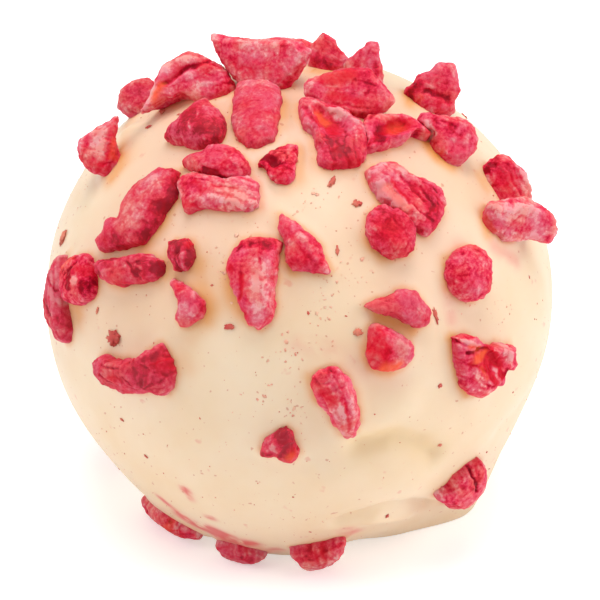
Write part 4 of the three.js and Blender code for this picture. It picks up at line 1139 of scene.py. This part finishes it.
# %% Places, notes on the mesh, noise and materials
def place_in(tree):
    """The place of each spot on the truffle, in metres."""
    return tree.nodes.new("ShaderNodeTexCoord").outputs["Object"]


def attribute(tree, name):
    """The number that was noted on each vertex under this name."""
    made = tree.nodes.new("ShaderNodeAttribute")
    made.attribute_name = name
    return made.outputs["Fac"]


def noise(tree, where, scale, detail=2.0, roughness=0.5):
    """Smooth random values around 0.5, with about `scale` swings a metre."""
    made = tree.nodes.new("ShaderNodeTexNoise")
    for label, value in (("Vector", where), ("Scale", scale), ("Detail", detail), ("Roughness", roughness)):
        feed(tree, made.inputs[label], value)
    return made.outputs[0]


def relief(tree, shader, height, strength, distance):
    """Fine height that catches the light, too fine for the mesh."""
    made = tree.nodes.new("ShaderNodeBump")
    made.inputs["Strength"].default_value = strength
    made.inputs["Distance"].default_value = distance
    tree.links.new(height, made.inputs["Height"])
    tree.links.new(made.outputs[0], shader.inputs["Normal"])


def new_material(name, **settings):
    """A material, its node tree and its shader with the plain sockets set."""
    material = bpy.data.materials.new(name)
    material.use_nodes = True
    shader = material.node_tree.nodes["Principled BSDF"]
    for label, value in settings.items():
        shader.inputs[label.replace("_", " ")].default_value = value
    return material, material.node_tree, shader


print("materials so far:", len(bpy.data.materials))

# %% Berry flesh group
BERRY_STOPS = [
    (0.00, (142, 2, 28)),
    (0.20, (188, 4, 44)),
    (0.35, (210, 22, 63)),
    (0.50, (221, 56, 82)),
    (0.68, (223, 90, 105)),
    (0.85, (227, 125, 131)),
    (1.00, (233, 166, 164)),
]
TINTS = {"dusk": (0.4, (186, 62, 74)), "vivid": (0.68, (212, 4, 32)), "glow": (0.75, (239, 96, 52))}
LILAC, APRICOT, MOST_LEAN = (223, 108, 143), (234, 118, 90), 0.3


def berry_ramp(tree, level):
    made = tree.nodes.new("ShaderNodeValToRGB")
    ramp = made.color_ramp
    while len(ramp.elements) < len(BERRY_STOPS):
        ramp.elements.new(0.5)
    for element, (position, colour) in zip(ramp.elements, BERRY_STOPS):
        element.position = position
        element.color = linear(colour)
    tree.links.new(level, made.inputs[0])
    return made.outputs[0]


def berry_flesh_group():
    tree = bpy.data.node_groups.new("Berry flesh", "ShaderNodeTree")
    for label in ("Mottle", "Cell size", "Crumb"):
        tree.interface.new_socket(label, in_out="INPUT", socket_type="NodeSocketFloat")
    for label, kind in (("Color", "NodeSocketColor"), ("Roughness", "NodeSocketFloat"),
                        ("Height", "NodeSocketFloat")):
        tree.interface.new_socket(label, in_out="OUTPUT", socket_type=kind)
    start, end = tree.nodes.new("NodeGroupInput"), tree.nodes.new("NodeGroupOutput")
    where = place_in(tree)
    cells = noise(tree, where, start.outputs["Cell size"], 3.0, 0.6)
    crumb = noise(tree, where, 5200.0, 2.0, 0.6)
    mottling = past(tree, cells, 0.5, start.outputs["Mottle"])
    speckles = past(tree, crumb, 0.5, 0.8)
    patches = past(tree, noise(tree, where, 900.0), 0.5, 0.5)
    shift = math_node(tree, "ADD", math_node(tree, "ADD", mottling, speckles), patches)
    # the tone runs about from -1 to 1, the ramp from 0 to 1
    level = math_node(tree, "ADD", math_node(tree, "MULTIPLY", attribute(tree, "tone"), 0.5), 0.5)
    level = math_node(tree, "ADD", level, shift)
    colour = berry_ramp(tree, level)
    # whole patches lean to lilac or to apricot
    lean = noise(tree, where, 600.0)
    for steepness, tint in ((3.0, LILAC), (-3.0, APRICOT)):
        share = math_node(tree, "MAXIMUM", past(tree, lean, 0.5, steepness), 0.0)
        share = math_node(tree, "MINIMUM", math_node(tree, "MULTIPLY", share, level), MOST_LEAN)
        colour = mix_colour(tree, share, colour, tint)
    for mark, (share, tint) in TINTS.items():
        colour = mix_colour(tree, math_node(tree, "MULTIPLY", attribute(tree, mark), share), colour, tint)
    tree.links.new(colour, end.inputs["Color"])
    tree.links.new(math_node(tree, "ADD", math_node(tree, "MULTIPLY", level, 0.25), 0.5),
                   end.inputs["Roughness"])
    tree.links.new(math_node(tree, "ADD", math_node(tree, "MULTIPLY", crumb, start.outputs["Crumb"]), cells),
                   end.inputs["Height"])
    return tree


BERRY_FLESH = berry_flesh_group()
print("nodes in the berry flesh group:", len(BERRY_FLESH.nodes))

# %% The four berry materials
def berry_material(name, mottle, cell_size, crumb, sheen):
    material, tree, shader = new_material(
        name, Specular_IOR_Level=0.09, Subsurface_Weight=0.3, Subsurface_Radius=(1.0, 0.22, 0.2),
        Subsurface_Scale=0.0005, Sheen_Weight=sheen, Sheen_Roughness=0.5, Sheen_Tint=linear((255, 190, 195)))
    flesh = tree.nodes.new("ShaderNodeGroup")
    flesh.node_tree = BERRY_FLESH
    for label, value in (("Mottle", mottle), ("Cell size", cell_size), ("Crumb", crumb)):
        flesh.inputs[label].default_value = value
    tree.links.new(flesh.outputs["Color"], shader.inputs["Base Color"])
    tree.links.new(flesh.outputs["Roughness"], shader.inputs["Roughness"])
    relief(tree, shader, flesh.outputs["Height"], 0.35, 0.00006)
    return material


BERRY = {
    "drupelet": berry_material("Wrinkled berry bead", 0.7, 2600.0, 0.4, 0.02),
    "shard": berry_material("Powdery berry flake", 0.7, 3200.0, 0.6, 0.04),
    "strand": berry_material("Fibrous berry pulp", 0.7, 2800.0, 0.5, 0.04),
    "husk": berry_material("Burst berry wall", 0.7, 2800.0, 0.5, 0.03),
}
print("berry materials:", sorted(BERRY))

# %% [markdown]
# White chocolate is cream-coloured, satin rather than glossy, and slightly translucent, which keeps
# its shadows warm. Close to each bit, painted shade and painted orange light from the red bits warm
# it towards orange. Berry powder has tinted it in a few smears, and fine specks are caught in the surface.

# %% Ivory chocolate
CREAM, WARM_CREAM = (240, 217, 188), (235, 206, 170)
# all but the smears are painted light and shade: yellower in the deep groove, red where bits lie close,
# orange round and beside the bits
COAT_TINTS = {  # share and colour of what was noted on the coat's vertices
    "groove_shade": (0.5, (228, 195, 142)), "crowd_shade": (0.42, (225, 166, 142)), "rim": (0.55, (230, 156, 84)),
    "side_shade": (0.85, (224, 148, 62)), "smear": (1.0, (222, 94, 94)),
}
SPECKS = [  # swings a metre, detail, roughness, start and steepness of the peaks, most, colour
    (2600.0, 1.0, 0.4, 0.74, 14.0, 0.5, (200, 108, 82)),
    (1000.0, 2.0, 0.5, 0.7, 5.0, 0.35, (224, 122, 104)),
]
RIM_WIDTH, RIM_WOBBLE = 0.08, 0.4


def painted_contact_shade(tree, where):
    """Painted shade and orange light in a thin band round every bit, 1 at the bit and fading over an uneven
    width in millimetres.
    """
    reach = math_node(tree, "ADD", math_node(tree, "MULTIPLY", noise(tree, where, 500.0), RIM_WOBBLE),
                      RIM_WIDTH)
    near = math_node(tree, "DIVIDE", attribute(tree, "to_bit"), reach)
    fall = math_node(tree, "MULTIPLY", math_node(tree, "MULTIPLY", near, near), -1.0)
    return math_node(tree, "POWER", math.e, fall)


def ivory_material():
    material, tree, shader = new_material(
        "Ivory chocolate", Specular_IOR_Level=0.4, Subsurface_Weight=0.3,
        Subsurface_Radius=(1.0, 0.7, 0.45), Subsurface_Scale=0.001)
    where = place_in(tree)
    cloud = noise(tree, where, 180.0, 3.0, 0.55)
    base = mix_colour(tree, past(tree, cloud, 0.3, 2.5), linear(CREAM), WARM_CREAM)
    for mark, (share, tint) in COAT_TINTS.items():
        amount = painted_contact_shade(tree, where) if mark == "rim" else attribute(tree, mark)
        base = mix_colour(tree, math_node(tree, "MULTIPLY", amount, share), base, tint)
    for scale, detail, roughness, start, steepness, most, tint in SPECKS:
        peaks = past(tree, noise(tree, where, scale, detail, roughness), start, steepness)
        base = mix_colour(tree, between(tree, peaks, most), base, tint)
    tree.links.new(base, shader.inputs["Base Color"])
    tree.links.new(math_node(tree, "ADD", math_node(tree, "MULTIPLY", cloud, 0.12), 0.36),
                   shader.inputs["Roughness"])
    relief(tree, shader, noise(tree, where, 900.0, 3.0), 0.12, 0.0001)
    return material


IVORY = ivory_material()
print("nodes in the ivory material:", len(IVORY.node_tree.nodes))

# %% Crumbs, dust, powder and seeds
def loose_material(name, first, second, roughness=0.75):
    """Two colours in patches, for what is too small to show more."""
    material, tree, shader = new_material(
        name, Roughness=roughness, Subsurface_Weight=0.1, Subsurface_Scale=0.0002)
    share = past(tree, noise(tree, place_in(tree), 700.0), 0.35, 3.3)
    tree.links.new(mix_colour(tree, share, linear(first), second), shader.inputs["Base Color"])
    return material


finished(coat, "ivory_coat", IVORY, ["coat"])
for name, mesh in bit_meshes.items():
    kind = name.split("_")[0]
    finished(mesh, "berry_" + name, BERRY[kind], [name])
LOOSE = [
    (seed_mesh, "berry_seeds", "husk", loose_material("Berry seed", (230, 106, 56), (220, 66, 50), 0.45)),
    (crumb_mesh, "berry_crumbs", "shard", loose_material("Berry crumb", (198, 72, 66), (226, 134, 108))),
    (dust_mesh, "berry_dust", "shard", loose_material("Berry dust", (204, 108, 84), (236, 164, 136))),
    (powder_mesh, "berry_powder", "shard", loose_material("Berry powder", (234, 150, 128), (243, 196, 166))),
]
for mesh, name, slot, material in LOOSE:
    finished(mesh, name, material)
print("pieces finished:", 1 + len(bit_meshes) + len(LOOSE))

# %% [markdown]
# ## Stage, light and camera
# The truffle stands on a plain white sheet, in the kind of light tent used for small goods: large
# soft panels at the left and right, a brighter one above, and an even white surround. The lens is
# long and looks down by 28 degrees, so that the top of the ball is seen as well as its front.

# %% Floor
def make_floor():
    bm = bmesh.new()
    bmesh.ops.create_grid(bm, x_segments=1, y_segments=1, size=4.0)
    floor = placed("white_sheet", mesh_from(bm, "white_sheet"))
    material, tree, shader = new_material(
        "White sheet", Base_Color=(0.88, 0.88, 0.88, 1), Roughness=0.9, Specular_IOR_Level=0.1,
        Emission_Color=(1, 1, 1, 1))
    # the sheet is overexposed: it looks whiter than the light that it throws up at the truffle
    seen = tree.nodes.new("ShaderNodeLightPath").outputs["Is Camera Ray"]
    shine = math_node(tree, "ADD", math_node(tree, "MULTIPLY", seen, 0.25), 0.18)
    tree.links.new(shine, shader.inputs["Emission Strength"])
    floor.data.materials.append(material)
    return floor


print("floor width:", make_floor().dimensions.x, "m")

# %% Soft panels and surround
PANELS = {  # place in metres, size of the panel, strength in watts
    "panel_right": ((0.30, -0.06, 0.16), 0.26, 0.52),
    "panel_left": ((-0.30, -0.06, 0.18), 0.26, 0.36),
    "panel_top": ((0.0, 0.0, 0.36), 0.24, 0.90),
}
SURROUND = 0.38
middle = Vector((0, 0, BALL_MIDDLE[2] / MM))
for name, (place, size, watts) in PANELS.items():
    data = bpy.data.lights.new(name, "AREA")
    data.shape, data.size, data.energy = "SQUARE", size, watts
    lamp = placed(name, data)
    lamp.location = place
    lamp.rotation_euler = (middle - Vector(place)).to_track_quat("-Z", "Y").to_euler()

world = bpy.data.worlds.new("Light tent")
world.use_nodes = True
world.node_tree.nodes["Background"].inputs["Color"].default_value = (1, 1, 1, 1)
world.node_tree.nodes["Background"].inputs["Strength"].default_value = SURROUND
bpy.context.scene.world = world
print("panels:", len(PANELS))

# %% Camera
LOOK_DOWN = math.radians(28)
DISTANCE = 0.26
SET_RIGHT, SET_UP = 0.00013, 0.00019  # metres by which the view is centred on the truffle
back = Vector((0, -math.cos(LOOK_DOWN), math.sin(LOOK_DOWN)))
up = Vector((0, math.sin(LOOK_DOWN), math.cos(LOOK_DOWN)))
camera_data = bpy.data.cameras.new("camera")
camera_data.lens, camera_data.sensor_width = 246.2, 36.0
camera_data.clip_start, camera_data.clip_end = 0.01, 20.0
camera = placed("camera", camera_data)
camera.location = middle + Vector((SET_RIGHT, 0, 0)) + up * SET_UP + back * DISTANCE
camera.rotation_euler = (-back).to_track_quat("-Z", "Y").to_euler()
bpy.context.scene.camera = camera
bpy.context.scene.view_settings.view_transform = "Standard"
print("camera at:", tuple(round(value, 3) for value in camera.location))

# %% [markdown]

# %% The end
print("done")
